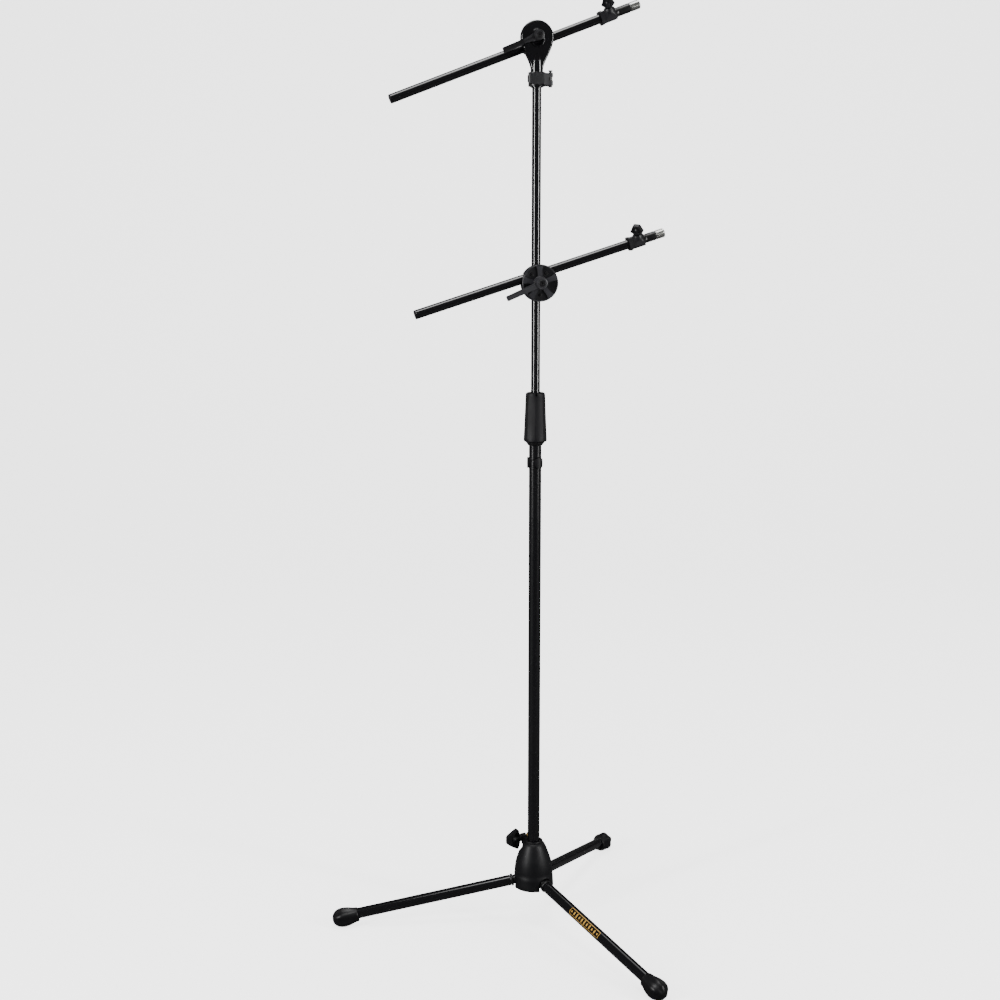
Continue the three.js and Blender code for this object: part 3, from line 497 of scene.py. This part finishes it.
for number in (1, 2, 3):
    hinge = Vector(joints[f"leg_{number}_fold"]["axis"])
    spoke = hinge.cross(Vector((0, 0, 1)))
    run = spoke * math.cos(leg_slope) - Vector((0, 0, math.sin(leg_slope)))
    leg_place = placed(Vector(joints[f"leg_{number}_fold"]["pos_m"]), run, hinge)
    body = f"leg_{number}"
    eye = join(moved(rod(8.6, -7, 7), along_y),
               moved(rod(8.2, 4.2, 40), along_x),
               moved(turned([(0, 9.4), (9.9, 9.4), (11.2, 10.6), (11.3, 13), (10.9, 13.9), (0, 13.9)], 72),
                     along_x))
    eye = cut(eye, moved(rod(3.3, -12, 12), along_y))
    make_piece(f"leg_knuckle_{number}", eye, leg_place, body, satin_black,
               [f"leg_root_{number}"], 0)
    tube = moved(pipe(leg_radius, leg_bore, 14.3, leg_end, 96), along_x)
    make_piece(f"leg_barrel_{number}", tube, leg_place, body, gloss_black,
               [f"leg_tube_{number}"], 0.0004)
    boot = turned(boot_outline, 144)
    for vert in boot.verts:
        radius = math.hypot(vert.co.x, vert.co.y)
        if radius > 5:
            flute = math.cos(flute_count * math.atan2(vert.co.y, vert.co.x))
            depth = min(1, (radius - 5) / 10) * min(1, max(0, vert.co.z + 23) / 14)
            vert.co.xy *= (radius + flute_depth * depth * flute) / radius
    boot = moved(moved(boot, along_x), Matrix.Translation((boot_middle, 0, -boot_drop)))
    boot = cut(boot, moved(rod(leg_radius + 0.3, 300, 324, 96), along_x))
    floor_in_leg = leg_place.inverted()
    down = (floor_in_leg.to_3x3() @ Vector((0, 0, -1))).normalized()
    bmesh.ops.bisect_plane(boot, geom=list(boot.verts) + list(boot.edges) + list(boot.faces),
                           plane_co=floor_in_leg.translation, plane_no=down, clear_outer=True)
    sole_edges = [edge for edge in boot.edges if edge.is_boundary]
    bmesh.ops.holes_fill(boot, edges=sole_edges)
    make_piece(f"leg_boot_{number}", boot, leg_place, body, boot_rubber,
               [f"leg_foot_{number}"], 0)

# ---------- Leg label ----------
# A thin gold print round the top of the front leg: a rounded border and a row of upright bars, like a sound
# level. It is a foil a few hundredths of a millimetre thick, so it is made as curved strips on the tube.
gold_print = make_finish("gold_print", (0.8, 0.46, 0.09), (0.48, 0.28, 0.06), 0.34, 900, 0.00002,
                         metallic=0.35)
label_start, label_end, label_turn, label_half = 97.0, 181.0, math.radians(-52), 6.4


def ring_of_foil(x0, x1, half, width):
    outer = slab([(x0, -half), (x1, -half), (x1, half), (x0, half)], 0, 0.08, 2.0)
    inner = slab([(x0 + width, width - half), (x1 - width, width - half), (x1 - width, half - width),
                  (x0 + width, half - width)], -1, 1, 1.3)
    return cut(outer, inner)


def together(shapes):
    """Several shapes in one, without joining their surfaces."""
    whole = bmesh.new()
    for shape in shapes:
        mesh = bpy.data.meshes.new("part")
        shape.to_mesh(mesh)
        shape.free()
        whole.from_mesh(mesh)
        bpy.data.meshes.remove(mesh)
    return whole


border = ring_of_foil(label_start, label_end, label_half, 0.9)
bmesh.ops.triangulate(border, faces=border.faces)
bar_heights = [1.6, 3.0, 4.2, 2.4, 3.6, 4.6, 2.8, 4.0, 2.2, 3.4, 1.8]
end_margin, bar_half = 5, 1.4
pitch = (label_end - label_start - 2 * end_margin) / (len(bar_heights) - 1)
marks_of_foil = [border]
for index, height in enumerate(bar_heights):
    middle = label_start + end_margin + index * pitch
    marks_of_foil.append(slab([(middle - bar_half, -height), (middle + bar_half, -height),
                               (middle + bar_half, height), (middle - bar_half, height)], 0, 0.08, 1.0, 4))
label = together(marks_of_foil)
fold_step = 0.8
for turn_line in [step * fold_step - label_half for step in range(17)]:
    bmesh.ops.bisect_plane(label, geom=list(label.verts) + list(label.edges) + list(label.faces),
                           plane_co=(0, turn_line, 0), plane_no=(0, 1, 0))
for vert in label.verts:
    turn = label_turn + vert.co.y / leg_radius
    radius = leg_radius + 0.03 + vert.co.z
    vert.co = Vector((vert.co.x, radius * math.sin(turn), radius * math.cos(turn)))
front_hinge = Vector(joints["leg_1_fold"]["axis"])
front_run = front_hinge.cross(Vector((0, 0, 1))) * math.cos(leg_slope) - Vector((0, 0, math.sin(leg_slope)))
front_place = placed(Vector(joints["leg_1_fold"]["pos_m"]), front_run, front_hinge)
make_piece("leg_print", label, front_place, "leg_1", gold_print, edge=0)

# ---------- Lower tube and its lugs ----------
# The 22 mm outer tube of the pole, steel under satin black coat, with three round-ended windows in which the
# lugs of the nylon guide bush snap.
pole_black = make_finish("pole_black_coat", (0.0029, 0.0028, 0.0038), (0.014, 0.014, 0.016), 0.26, 520,
                         0.000004, marks=16, amount=0.2, coat=0.1, swell=1.0)
tube_radius, tube_bore = 11.1, 9.6
lug_height, lug_half_width, lug_half_length, lug_reach = 873.5, 7.5, 9.5, 14.6


def across_pole(half_length, half_width, rounding, start, end, angle):
    plate = slab([(-half_length, -half_width), (half_length, -half_width), (half_length, half_width),
                  (-half_length, half_width)], start, end, rounding, 8)
    return moved(plate, about_z(angle) @ Matrix.Translation((0, 0, lug_height)) @ along_x)


barrel = pipe(tube_radius, tube_bore, 74, 935, 96)
windows = [across_pole(lug_half_length + 0.5, lug_half_width + 0.5, 6.3, 5, 20, leg_sides[n]) for n in (1, 2,
                                                                                                        3)]
make_piece("pole_barrel", cut(barrel, *windows), on_pole, "lower_tube", pole_black,
           ["lower_tube"], 0.0003)
bush = pipe(tube_bore - 0.3, 8.25, 852, 930, 96)
lugs = [across_pole(lug_half_length, lug_half_width, 6, 7, lug_reach, leg_sides[n]) for n in (1, 2, 3)]
lug_faces = turned([(8.25, 840), (13.8, 840), (14.5, 868), (14.6, 873.5), (14.5, 879), (13.8, 907),
                    (8.25, 907)], 96)
lugs = [combined("INTERSECT", lug, lug_faces.copy()) for lug in lugs]
lug_faces.free()
make_piece("guide_lugs", join(bush, *lugs), on_pole, "lower_tube", moulded_nylon, ["guide_bush"],
           0.0005)

# ---------- Clutch ----------
# A turned collar on the lower tube, and a glass-filled nylon grip that squeezes a split collet on to the
# inner tube when it is twisted. The grip has eight soft flats, a fine texture and a small notch at its top.
grip_nylon = make_finish("grip_nylon", (0.0052, 0.0051, 0.0064), (0.017, 0.017, 0.019), 0.46, 620, 0.0004,
                         marks=50, amount=0.4, swell=0.2, specular=0.2)
collar = turned([(11.35, 904.5), (12.2, 904.5), (12.8, 904.9), (16.0, 909.2), (16.5, 910.1), (16.4, 910.6),
                 (15, 911), (15, 934.5), (11.35, 934.5)], 96)
make_piece("clutch_ring", collar, on_pole, "lower_tube", satin_black, ["clutch_collar"],
           0.0003)
keep_node("clutch_collet", plain_nylon)
sleeve = turned([(15.4, 911.3), (18.6, 911.3), (19.6, 911.8), (20.2, 913), (20.4, 915), (20.2, 919),
                 (19.9, 925), (19.4, 935), (18.9, 947), (18.5, 957), (18.1, 967), (17.7, 977), (17.4, 986),
                 (17.1, 993), (16.9, 995.6), (16.2, 997.6), (15.0, 998.7), (13.6, 999), (9.0, 999),
                 (8.5, 998.5), (8.5, 953), (15.4, 951.5)], 192)
flat_count = 8
for vert in sleeve.verts:
    radius = math.hypot(vert.co.x, vert.co.y)
    if radius > 16 and 912 < vert.co.z < 998:
        turn = math.atan2(vert.co.y, vert.co.x)
        flat = (abs(((turn * flat_count / math.tau) % 1) - 0.5) * 2) ** 2.2
        rise = min(1, (vert.co.z - 912) / 10) * min(1, (998 - vert.co.z) / 14)
        vert.co.xy *= (radius + 0.35 - 0.95 * (1 - flat) * rise) / radius
notch = moved(block(13.5, 20, -1.6, 1.6, 992.5, 1000), about_z(-84))
make_piece("clutch_sleeve", cut(sleeve, notch), on_pole, "grip", grip_nylon, ["clutch_grip"],
           0.0004)

# ---------- Upper tube ----------
# The 16 mm inner tube of the pole, gloss black, with a nylon plug at its foot that runs in the lower tube.
tube = pipe(8, 6.8, 600, 1557, 96)
make_piece("pole_rod", tube, on_pole, "upper_tube", gloss_black, ["upper_tube"], 0.0003)
keep_node("upper_tube_plug", plain_nylon)

# ---------- Upper head ----------
# A die-cast head, gloss black: a round neck that sits on the upper tube grows through smooth hollows into a
# disc, with a raised oval boss and a dished pocket under the tilt bolt. Its neck is split for the clamp band.
up = Vector((0, 0, 1))
back_side = -Vector(joints["upper_tilt"]["axis"])
turret_place = placed(pole_foot, back_side.cross(up), back_side)
upright = Matrix.Rotation(math.radians(90), 4, "X")


def bent(first, *controls, steps=14):
    """Points of a Bezier curve through its control points, without the first one."""
    points = []
    for step in range(1, steps + 1):
        share = step / steps
        level = [Vector(point) for point in (first, *controls)]
        while len(level) > 1:
            level = [a.lerp(b, share) for a, b in zip(level, level[1:])]
        points.append(tuple(level[0]))
    return points


pivot, disc_radius, half_plate = 1606, 28.5, 7
neck_radius, neck_bottom = 10.75, 1521.5
narrow, waist = 9.85, 1554
disc = arc(0, pivot - 2, disc_radius, -20, 200, 72)
right_flank = bent((narrow, waist - 6), (narrow, waist + 9), (disc_radius - 6, waist + 22), disc[0], steps=20)
left_flank = bent(disc[-1], (6 - disc_radius, waist + 22), (-narrow, waist + 9), (-narrow, waist - 6),
                  steps=20)
plate = slab([(narrow, waist - 6), *right_flank[:-1], *disc, *left_flank], -half_plate, half_plate)
rims = [edge for face in plate.faces if len(face.verts) > 8 for edge in face.edges]
bmesh.ops.bevel(plate, geom=rims, offset=3.2, offset_type="OFFSET", segments=7, profile=0.5, affect="EDGES",
                material=-1)
plate = moved(plate, upright)
neck = turned([(0, neck_bottom), (neck_radius - 0.6, neck_bottom), (neck_radius, neck_bottom + 0.8),
               (neck_radius, 1553), (10.6, 1558), (10.1, 1565), (9.2, 1571), (7.6, 1576.5), (5, 1580.5),
               (0, 1583)], 96)


def oval_boss(radius, front, back):
    ring = [*arc(0, 0, radius, 0, 180, 32), *arc(0, -7, radius, 180, 360, 32)]
    return moved(slab(ring, -back, -front), Matrix.Translation((0, 0, pivot)) @ upright)


raised = oval_boss(11.8, -10, -5)
front_rim = [edge for edge in raised.edges if all(vert.co.y < -9.9 for vert in edge.verts)]
bmesh.ops.bevel(raised, geom=front_rim, offset=1.6, offset_type="OFFSET", segments=5, profile=0.5,
                affect="EDGES", material=-1)
dish = turned([(0, -7.3), (3, -7.35), (5.6, -7.7), (7.5, -8.6), (8.6, -9.8), (9.1, -11), (9.1, -20),
               (0, -20)], 72)
dish = moved(dish, Matrix.Translation((0, 0, pivot - 8)) @ along_y)
bolt_hole = moved(rod(4.3, -20, 20), Matrix.Translation((0, 0, pivot)) @ along_y)
casting = cut(join(plate, neck, raised), dish, rod(8.25, neck_bottom - 1, 1558, 96),
              block(0, 20, -1.2, 1.2, neck_bottom - 1, 1551), bolt_hole)
head_body = make_piece("head_body", casting, turret_place, "head", gloss_black,
                       ["head_casting"], 0.0004)
head_body.modifiers.new("even_shading", "WEIGHTED_NORMAL").keep_sharp = True

# ---------- Quick release ----------
# A split steel band round the neck with a T-bolt through its ears, and a cam lever of grey reinforced nylon
# that wraps the front of the band. The lever's face has upright serrations for the thumb.
clamp_grey = make_finish("clamp_grey_nylon", (0.0078, 0.0077, 0.0096), (0.026, 0.026, 0.028), 0.36, 1300,
                         0.00008, specular=0.35)
release_bottom, release_top, pin_x, pin_y = 1523.5, 1546.5, 21, -12.8
release_middle = (release_bottom + release_top) / 2
band = pipe(14.6, 11.05, release_bottom, release_top, 96)
band = join(band, slab([(9, -8), (26, -8), (26, 8), (9, 8)], release_bottom + 1, release_top - 1, 1.6))
band = cut(band, block(5, 30, -2, 2, 1520, 1550), rod(11.05, 1520, 1550, 96),
           moved(rod(2.8, -20, 20), Matrix.Translation((pin_x, 0, release_middle)) @ along_y))
make_piece("release_clip", band, turret_place, "head", satin_black, ["release_band"],
           0.0005)
keep_node("release_bolt", satin_black)
plan = [*arc(pin_x, pin_y, 4.6, 80, -90, 24), (10, -19.6), *bent((10, -19.6), (-4, -22.6), (-14, -18.6)),
        *bent((-14, -18.6), (-20.5, -15.6), (-18.4, -11.5), steps=8),
        *bent((-18.4, -11.5), (-17, -9), (-15.4, -11.2)), *bent((-15.4, -11.2), (-9, -17.4), (2, -16.4)),
        *bent((2, -16.4), (10, -15.2), (pin_x - 4, pin_y + 2))]
cam = Matrix.Translation((pin_x, pin_y, 0))
arm = slab(plan, release_bottom + 0.6, release_top - 0.6)
wave = [(30, release_bottom), (30, release_top - 1.6), (12, release_top - 2.6),
        *bent((12, release_top - 2.6), (8, release_top), (1, release_top + 0.4), steps=8),
        *bent((1, release_top + 0.4), (-8, release_top - 0.4), (-12, release_top - 3), steps=8),
        *bent((-12, release_top - 3), (-19, release_top - 4), (-21, release_middle), steps=10),
        *bent((-21, release_middle), (-19, release_bottom + 4), (-12, release_bottom + 3), steps=10),
        *bent((-12, release_bottom + 3), (-2, release_bottom + 0.2), (8, release_bottom + 2.4), steps=8),
        (12, release_bottom)]
arm = combined("INTERSECT", arm, moved(slab(wave, -10, 40), upright))
thumb_curve = bent((10, -19.6), (-4, -22.6), (-14, -18.6), steps=13)
serrations = [moved(rod(0.75, release_bottom - 1, release_top + 1, 12), Matrix.Translation((x, y, 0)))
              for x, y in thumb_curve]
pin_hole = moved(rod(2.7, release_bottom - 5, release_top + 5), cam)
shank_slot = block(pin_x - 3.2, pin_x + 12, pin_y - 8, pin_y + 10, release_middle - 3, release_middle + 3)
arm = cut(arm, pin_hole, shank_slot, together(serrations))
make_piece("release_cam_lever", arm, turret_place, "release_lever", clamp_grey,
           ["release_lever"], 0)

# ---------- Tilt lever of the upper boom ----------
# A die-cast lever on the tilt bolt, its hub closed by a black socket screw. A groove runs down the metal
# neck, and a dark rubber sheath is pushed on to its end.
lever_turn = math.radians(-156.4)
lever_along = back_side.cross(up) * math.cos(lever_turn) + up * math.sin(lever_turn)
upper_lever_place = placed(Vector(joints["upper_tilt"]["pos_m"]), lever_along, back_side)
hub = turned([(0, -23.5), (7.2, -23.5), (8.2, -23), (8.7, -21.8), (8.8, -20), (8.8, -10.4), (0, -10.4)], 72)
shaft = moved(slab([(2, -8), (9, -6.5), (15, -4.9), (27, -3.6), (34, -3.6), (34, 3.6), (27, 3.6), (15, 4.9),
                    (9, 6.5), (2, 8)], 14, 19.5, 1.2), upright)
shaft_groove = moved(slab([(8.5, -1.8), (28, -1.2), (28, 1.2), (8.5, 1.8)], 17.6, 23, 0.9), upright)
lever = cut(join(moved(hub, along_y), shaft), shaft_groove, moved(rod(5.9, -25, -20.5), along_y),
            moved(rod(4.3, -19.9, 0), along_y))
lever_black = make_finish("lever_satin_coat", (0.014, 0.014, 0.0155), (0.045, 0.045, 0.048), 0.3, 1100,
                          0.00005)
make_piece("upper_lever_body", lever, upper_lever_place, "upper_lever", lever_black,
           ["upper_tilt_lever"], 0.0005)
sheath = moved(slab([(29, -4.5), (48, -4.7), (66.5, -4.9), (66.5, 4.9), (48, 4.7), (29, 4.5)], 12.9, 20.6,
                    1.6), upright)
for front in (True, False):
    faces = [f for f in sheath.faces if len(f.verts) > 8 and (f.calc_center_median().y < -16) == front]
    bmesh.ops.inset_region(sheath, faces=faces, thickness=1.3, use_even_offset=True)
    bmesh.ops.inset_region(sheath, faces=faces, thickness=0.3, use_even_offset=True)
    bmesh.ops.translate(sheath, vec=faces[0].normal * -0.35, verts=list(faces[0].verts))
sheath = cut(sheath, block(20, 34.4, -20, -13.5, -4, 4))
make_piece("upper_lever_sheath", sheath, upper_lever_place, "upper_lever", boot_rubber,
           ["upper_lever_grip"], 0.0006)


def socket_screw(radius, front, depth):
    head = turned([(0, front), (radius - 0.5, front), (radius, front + 0.5), (radius, front + depth),
                   (0, front + depth)])
    return moved(cut(head, rod(2.4, front - 1, front + depth * 0.7, 6)), along_y)


make_piece("upper_lever_cap", socket_screw(5.5, -23.8, 2.9), upper_lever_place, "upper_lever",
           satin_black, ["upper_lever_screw"], 0.0002)

# ---------- Tilting sleeve of the upper boom ----------
# A satin black sleeve behind the head that the boom slides through, on a round boss with a nylon washer. The
# tilt bolt pushes a brass wedge pad against the boom, so one lever locks the tilt and the slide.
upper_tilt_place = placed(Vector(joints["upper_tilt"]["pos_m"]), joints["upper_boom_slide"]["axis"],
                          back_side)
upper_run = Matrix.Translation((0, 24, -9))
sleeve = turned([(0, -25), (10.8, -25), (11.6, -24), (11.9, -21.5), (11.4, -19.5), (11.4, 19.5), (11.9, 21.5),
                 (11.6, 24), (10.8, 25), (0, 25)], 96)
boss = moved(turned([(0, 9.6), (12.6, 9.6), (12.6, 18), (11.6, 23.6), (0, 23.6)], 80), along_y)
sleeve = cut(join(moved(moved(sleeve, along_x), upper_run), boss),
             moved(moved(rod(8.25, -30, 30, 96), along_x), upper_run), moved(rod(5.3, 0, 21.5), along_y))
make_piece("upper_sleeve", sleeve, upper_tilt_place, "upper_carriage", satin_black,
           ["boom_sleeve"], 0)
keep_node("tilt_washer", plain_nylon)
keep_node("wedge_pad", turned_brass)
keep_node("upper_tilt_bolt", bright_zinc)

# ---------- Boom arms ----------
# Two gloss black steel booms, each a 16 mm tube with a moulded cap at its back end, a 12.5 mm tube that
# slides out of its front end, a lock block with a paddle screw, and a 5/8 inch threaded stud of bright plated
# steel.
lower_tilt_place = placed(Vector(joints["lower_tilt"]["pos_m"]), joints["lower_boom_slide"]["axis"],
                          back_side)
arms = {
    "upper": (upper_tilt_place @ upper_run, -271.7, 121, 149, 177, 195.3),
    "lower": (lower_tilt_place @ Matrix.Translation((0, -27, 15)), -223.8, 171, 199, 222, 238.3),
}
screw_lean = Matrix.Rotation(math.radians(30), 4, "X")
thread_pitch = 25.4 / 27


def square(half, start, end, rounding):
    return moved(slab([(-half, -half), (half, -half), (half, half), (-half, half)], start, end, rounding, 8),
                 along_x)


def threaded_stud(start, end):
    """A core with a coiled ridge wound round it, trimmed to a stud with chamfered ends."""
    core_radius, crest_radius, winding_steps = 7.35, 7.94, 40
    turns = int((end - start) / thread_pitch) + 1
    ridge = bmesh.new()
    profile = [(core_radius - 0.2, -0.42), (crest_radius, -0.06), (crest_radius, 0.06),
               (core_radius - 0.2, 0.42)]
    points = [ridge.verts.new((radius, 0, start - 0.3 + height)) for radius, height in profile]
    face = ridge.faces.new(points)
    bmesh.ops.spin(ridge, geom=[*points, *face.edges, face], axis=(0, 0, 1), angle=math.tau * turns,
                   steps=winding_steps * turns, dvec=(0, 0, thread_pitch / winding_steps))
    bmesh.ops.recalc_face_normals(ridge, faces=ridge.faces)
    core = turned([(0, start - 5), (3, start - 5), (3, start), (6.6, start), (core_radius, start + 0.7),
                   (core_radius, end - 0.9), (6.6, end), (0, end)], 80)
    trim = turned([(0, start), (6.6, start), (7.94, start + 1.2), (7.94, end - 1.4), (6.6, end), (0, end)],
                  80)
    ridge = combined("INTERSECT", ridge, trim)
    return join(core, ridge)


for side, (place, back_end, block_start, block_end, fitting_end, tip) in arms.items():
    boom, extension = f"{side}_boom", f"{side}_extension"
    lock_middle = (block_start + block_end) / 2
    tube = moved(pipe(8, 6.8, back_end + 2.2, lock_middle, 96), along_x)
    make_piece(f"{side}_barrel", tube, place, boom, gloss_black, [f"{side}_boom_tube"],
               0.0003)
    cap = turned([(0, back_end), (6.4, back_end), (7.6, back_end + 0.5), (8, back_end + 1.2),
                  (8, back_end + 1.9), (6.5, back_end + 1.9), (6.5, back_end + 16), (0, back_end + 16)])
    make_piece(f"{side}_end_cap", moved(cap, along_x), place, boom, moulded_nylon,
               [f"{side}_boom_cap"], 0.0002)

    screw_at = block_start + 19
    shell = join(square(10.6, block_start + 0.5, block_end, 3.6),
                 square(11.8, block_start, block_start + 3.6, 4.4),
                 moved(moved(turned([(0, 6), (9.6, 6), (9.4, 10.8), (8.2, 12.6), (7.4, 14.5), (0, 14.5)], 64),
                             screw_lean), Matrix.Translation((screw_at, 0, 0))))
    moat = moved(moved(pipe(7.0, 5.2, 13.2, 20), screw_lean), Matrix.Translation((screw_at, 0, 0)))
    panels = [moved(slab([(block_start + 5.2, -6.8), (block_start + 9, -6.8), (block_start + 9, 6.8),
                          (block_start + 5.2, 6.8)], 9.9, 12, 1.4), turn)
              for turn in (Matrix.Rotation(math.radians(90 * quarter), 4, "X") for quarter in range(4))]
    bores = [moved(rod(8.25, block_start - 1, lock_middle + 0.3, 96), along_x),
             moved(rod(6.5, block_start - 1, block_end + 1, 96), along_x),
             moved(moved(rod(3.3, 4, 20), screw_lean), Matrix.Translation((screw_at, 0, 0)))]
    shell = cut(shell, moat, *panels, *bores)
    make_piece(f"{side}_tube_lock", shell, place, boom, clamp_grey, [f"{side}_lock_block"], 0)

    wing = paddle(24, 12, 1, 17, 8, 5.5, 2.2, 1.8)
    wing = join(wing, moved(rod(3, -8, 2), along_x))
    wing = moved(wing, about_z(50) @ Matrix.Rotation(math.radians(-90), 4, "Y"))
    stem_place = place @ Matrix.Translation((screw_at, 0, 0)) @ screw_lean @ Matrix.Translation((0, 0, 15))
    make_piece(f"{side}_lock_paddle", wing, stem_place, f"{side}_lock_knob", clamp_grey,
               [f"{side}_lock_knob"], 0.0004)

    inner = moved(pipe(6.25, 5, back_end + 40, block_end + 14, 80), along_x)
    make_piece(f"{side}_inner_tube", inner, place, extension, gloss_black,
               [f"{side}_slide_tube"], 0.0002)
    start = block_end + 0.6
    fitting = turned([(6.5, start), (7.4, start), (8, start + 0.8), (8, start + 4), (7.7, start + 4.5),
                      (7.7, start + 5.5), (8, start + 6), (8, fitting_end - 1.2), (7, fitting_end),
                      (3.3, fitting_end), (3.3, block_end + 14.4), (6.5, block_end + 14.4)])
    make_piece(f"{side}_end_fitting", moved(fitting, along_x), place, extension,
               satin_black, [f"{side}_boom_fitting"], 0.0002)
    stud = moved(threaded_stud(fitting_end + 0.3, tip), along_x)
    make_piece(f"{side}_thread", stud, place, extension, bright_zinc, [f"{side}_mic_stud"], 0)

# ---------- Lower clamp on the pole ----------
# A grey nylon sleeve with a flanged liner that slides on the upper tube, and the steel stud that the jaws of
# the lower boom turn and tighten on.
keep_node("pole_liner", plain_nylon)
clamp_pivot = 1191.5
ring = turned([(11.7, 0), (13.2, 0), (14, 0.8), (14, 39.2), (13.2, 40), (9.7, 40), (9.7, 0)], 96)
ring = moved(ring, Matrix.Translation((0, 0, clamp_pivot - 20)))
pad = moved(rod(15, -14.6, -5, 96), Matrix.Translation((0, 0, clamp_pivot)) @ along_y)
ring = cut(join(ring, pad), rod(9.7, 1160, 1220, 96),
           moved(rod(3.3, -20, 0), Matrix.Translation((0, 0, clamp_pivot)) @ along_y))
make_piece("pole_sleeve", ring, turret_place, "clamp", clamp_grey, ["clamp_sleeve"], 0.0005)
keep_node("lower_tilt_stud", bright_zinc)

# ---------- Jaws of the lower boom ----------
# Two grey moulded discs clamp the boom between them. The front one is a cup with a thin rim and five broad
# raised spokes, and three small screws hold its metal insert.
boom_gap, boom_rise = -27, 15
way = moved(moved(rod(8.25, -40, 40, 96), along_x), Matrix.Translation((0, boom_gap, boom_rise)))
rear = turned([(0, boom_gap + 0.3), (27.6, boom_gap + 0.3), (28.4, boom_gap + 1), (28.4, -16.6),
               (26.8, -14.9), (0, -14.9)], 120)
rear = cut(moved(rear, along_y), way.copy(), moved(rod(3.4, -60, 0), along_y))
make_piece("rear_disc", rear, lower_tilt_place, "lower_carriage", clamp_grey, ["rear_jaw"],
           0.0005)

jaw_front, jaw_rear = -38, -20
cup = turned([(0, -36.6), (28.3, -36.6), (29.0, -36.9), (29.4, -37.7), (30.0, -38.2), (30.8, -38.2),
              (31.5, -37.7), (31.9, -36.6), (32, -34), (32, jaw_rear), (28.9, jaw_rear),
              (28.9, boom_gap - 0.3), (0, boom_gap - 0.3)], 144)
boom_tilt = 17.64
spokes = []
for angle in (93, 21, -50, -125, 170):
    spoke = moved(slab([(8, -3.9), (22, -4.1), (29.4, -6.2), (29.4, 6.2), (22, 4.1), (8, 3.9)], 35, 39.6, 0.6,
                       4), upright)
    spokes.append(moved(spoke, Matrix.Rotation(math.radians(boom_tilt - angle), 4, "Y")))
centre = moved(turned([(0, jaw_front - 2), (11.2, jaw_front - 2), (12, jaw_front - 1.3), (12.6, -35),
                       (0, -35)]), along_y)
open_way = block(-40, 40, boom_gap, 0, boom_rise - 8.25, boom_rise + 8.25)
screw_places = [Matrix.Rotation(math.radians(boom_tilt - angle), 4, "Y") @ Matrix.Translation((20.5, 0, 0))
                for angle in (135, 57, -88)]
screw_wells = together([moved(rod(2.5, -41, -35.4, 32), spot @ along_y) for spot in screw_places])
front = cut(join(moved(cup, along_y), centre, *spokes), way, open_way, moved(rod(3.4, -60, 0), along_y),
            screw_wells)
disc_grey = make_finish("disc_grey_nylon", (0.025, 0.025, 0.029), (0.055, 0.055, 0.06), 0.36, 1300, 0.00008,
                        specular=0.35)
# The pocket floors between the spokes are painted a darker grey than the spokes, chosen by depth along the
# disc's axis: painted shade in the recesses.
disc_tree = disc_grey.node_tree
disc_depth = disc_tree.nodes.new("ShaderNodeVectorMath")
disc_depth.operation = "DOT_PRODUCT"
disc_depth.inputs[1].default_value = back_side
link(disc_tree, disc_tree.nodes.new("ShaderNodeTexCoord").outputs["Object"], disc_depth.inputs[0])
floor_plane, spoke_plane = (Vector(joints["lower_tilt"]["pos_m"]).dot(back_side) + depth / 1000
                            for depth in (-36.7, -38.2))
pocket_shade_blend = remapped(disc_tree, disc_depth.outputs["Value"], floor_plane, spoke_plane)
disc_colour = disc_tree.nodes["Principled BSDF"].inputs["Base Color"]
moulded_colour = disc_colour.links[0].from_socket
link(disc_tree, tinted(disc_tree, pocket_shade_blend, (0.0062, 0.0061, 0.0074), moulded_colour), disc_colour)
make_piece("front_disc", front, lower_tilt_place, "lower_carriage", disc_grey, ["front_jaw"],
           0.0008)
for number in (1, 2, 3):
    keep_node(f"jaw_screw_{number}", satin_black)

# ---------- Tilt lever of the lower boom ----------
# One moulded lever, matt grey, with a slight raised border along its arm, a recessed hub and a socket screw.
lower_lever_place = placed(Vector(joints["lower_tilt"]["pos_m"]), lever_along, back_side)
hub_back, hub_front = -40.4, -53.4
hub = turned([(0, hub_front), (8.2, hub_front), (9.3, hub_front + 0.5), (9.9, hub_front + 2),
              (10.4, hub_back), (0, hub_back)], 80)
blade = slab([(3, -7), (9, -5.6), (15, -4.9), (40, -4.6), (66, -4.4), (66, 4.4), (40, 4.6), (15, 4.9),
              (9, 5.6), (3, 7)], 44.4, 50.9, 1.6, 6)
top = [face for face in blade.faces if len(face.verts) > 8 and face.normal.z > 0.9]
bmesh.ops.inset_region(blade, faces=top, thickness=1.1, use_even_offset=True)
bmesh.ops.inset_region(blade, faces=top, thickness=0.3, use_even_offset=True)
bmesh.ops.translate(blade, vec=(0, 0, -0.6), verts=list(top[0].verts))
lever = join(moved(hub, along_y), moved(blade, upright))
lever = cut(lever, moved(rod(6.2, hub_front - 1, hub_front + 3), along_y), moved(rod(3.3, -46.4, 0), along_y))
lever_grey = make_finish("lever_grey_nylon", (0.026, 0.026, 0.029), (0.06, 0.06, 0.064), 0.36, 1300, 0.00008,
                         specular=0.4)
make_piece("lower_lever_body", lever, lower_lever_place, "lower_lever", lever_grey,
           ["lower_tilt_lever"], 0.0007)
make_piece("lower_lever_cap", socket_screw(5.8, hub_front - 0.3, 2.9), lower_lever_place, "lower_lever",
           satin_black, ["lower_lever_screw"], 0.0002)
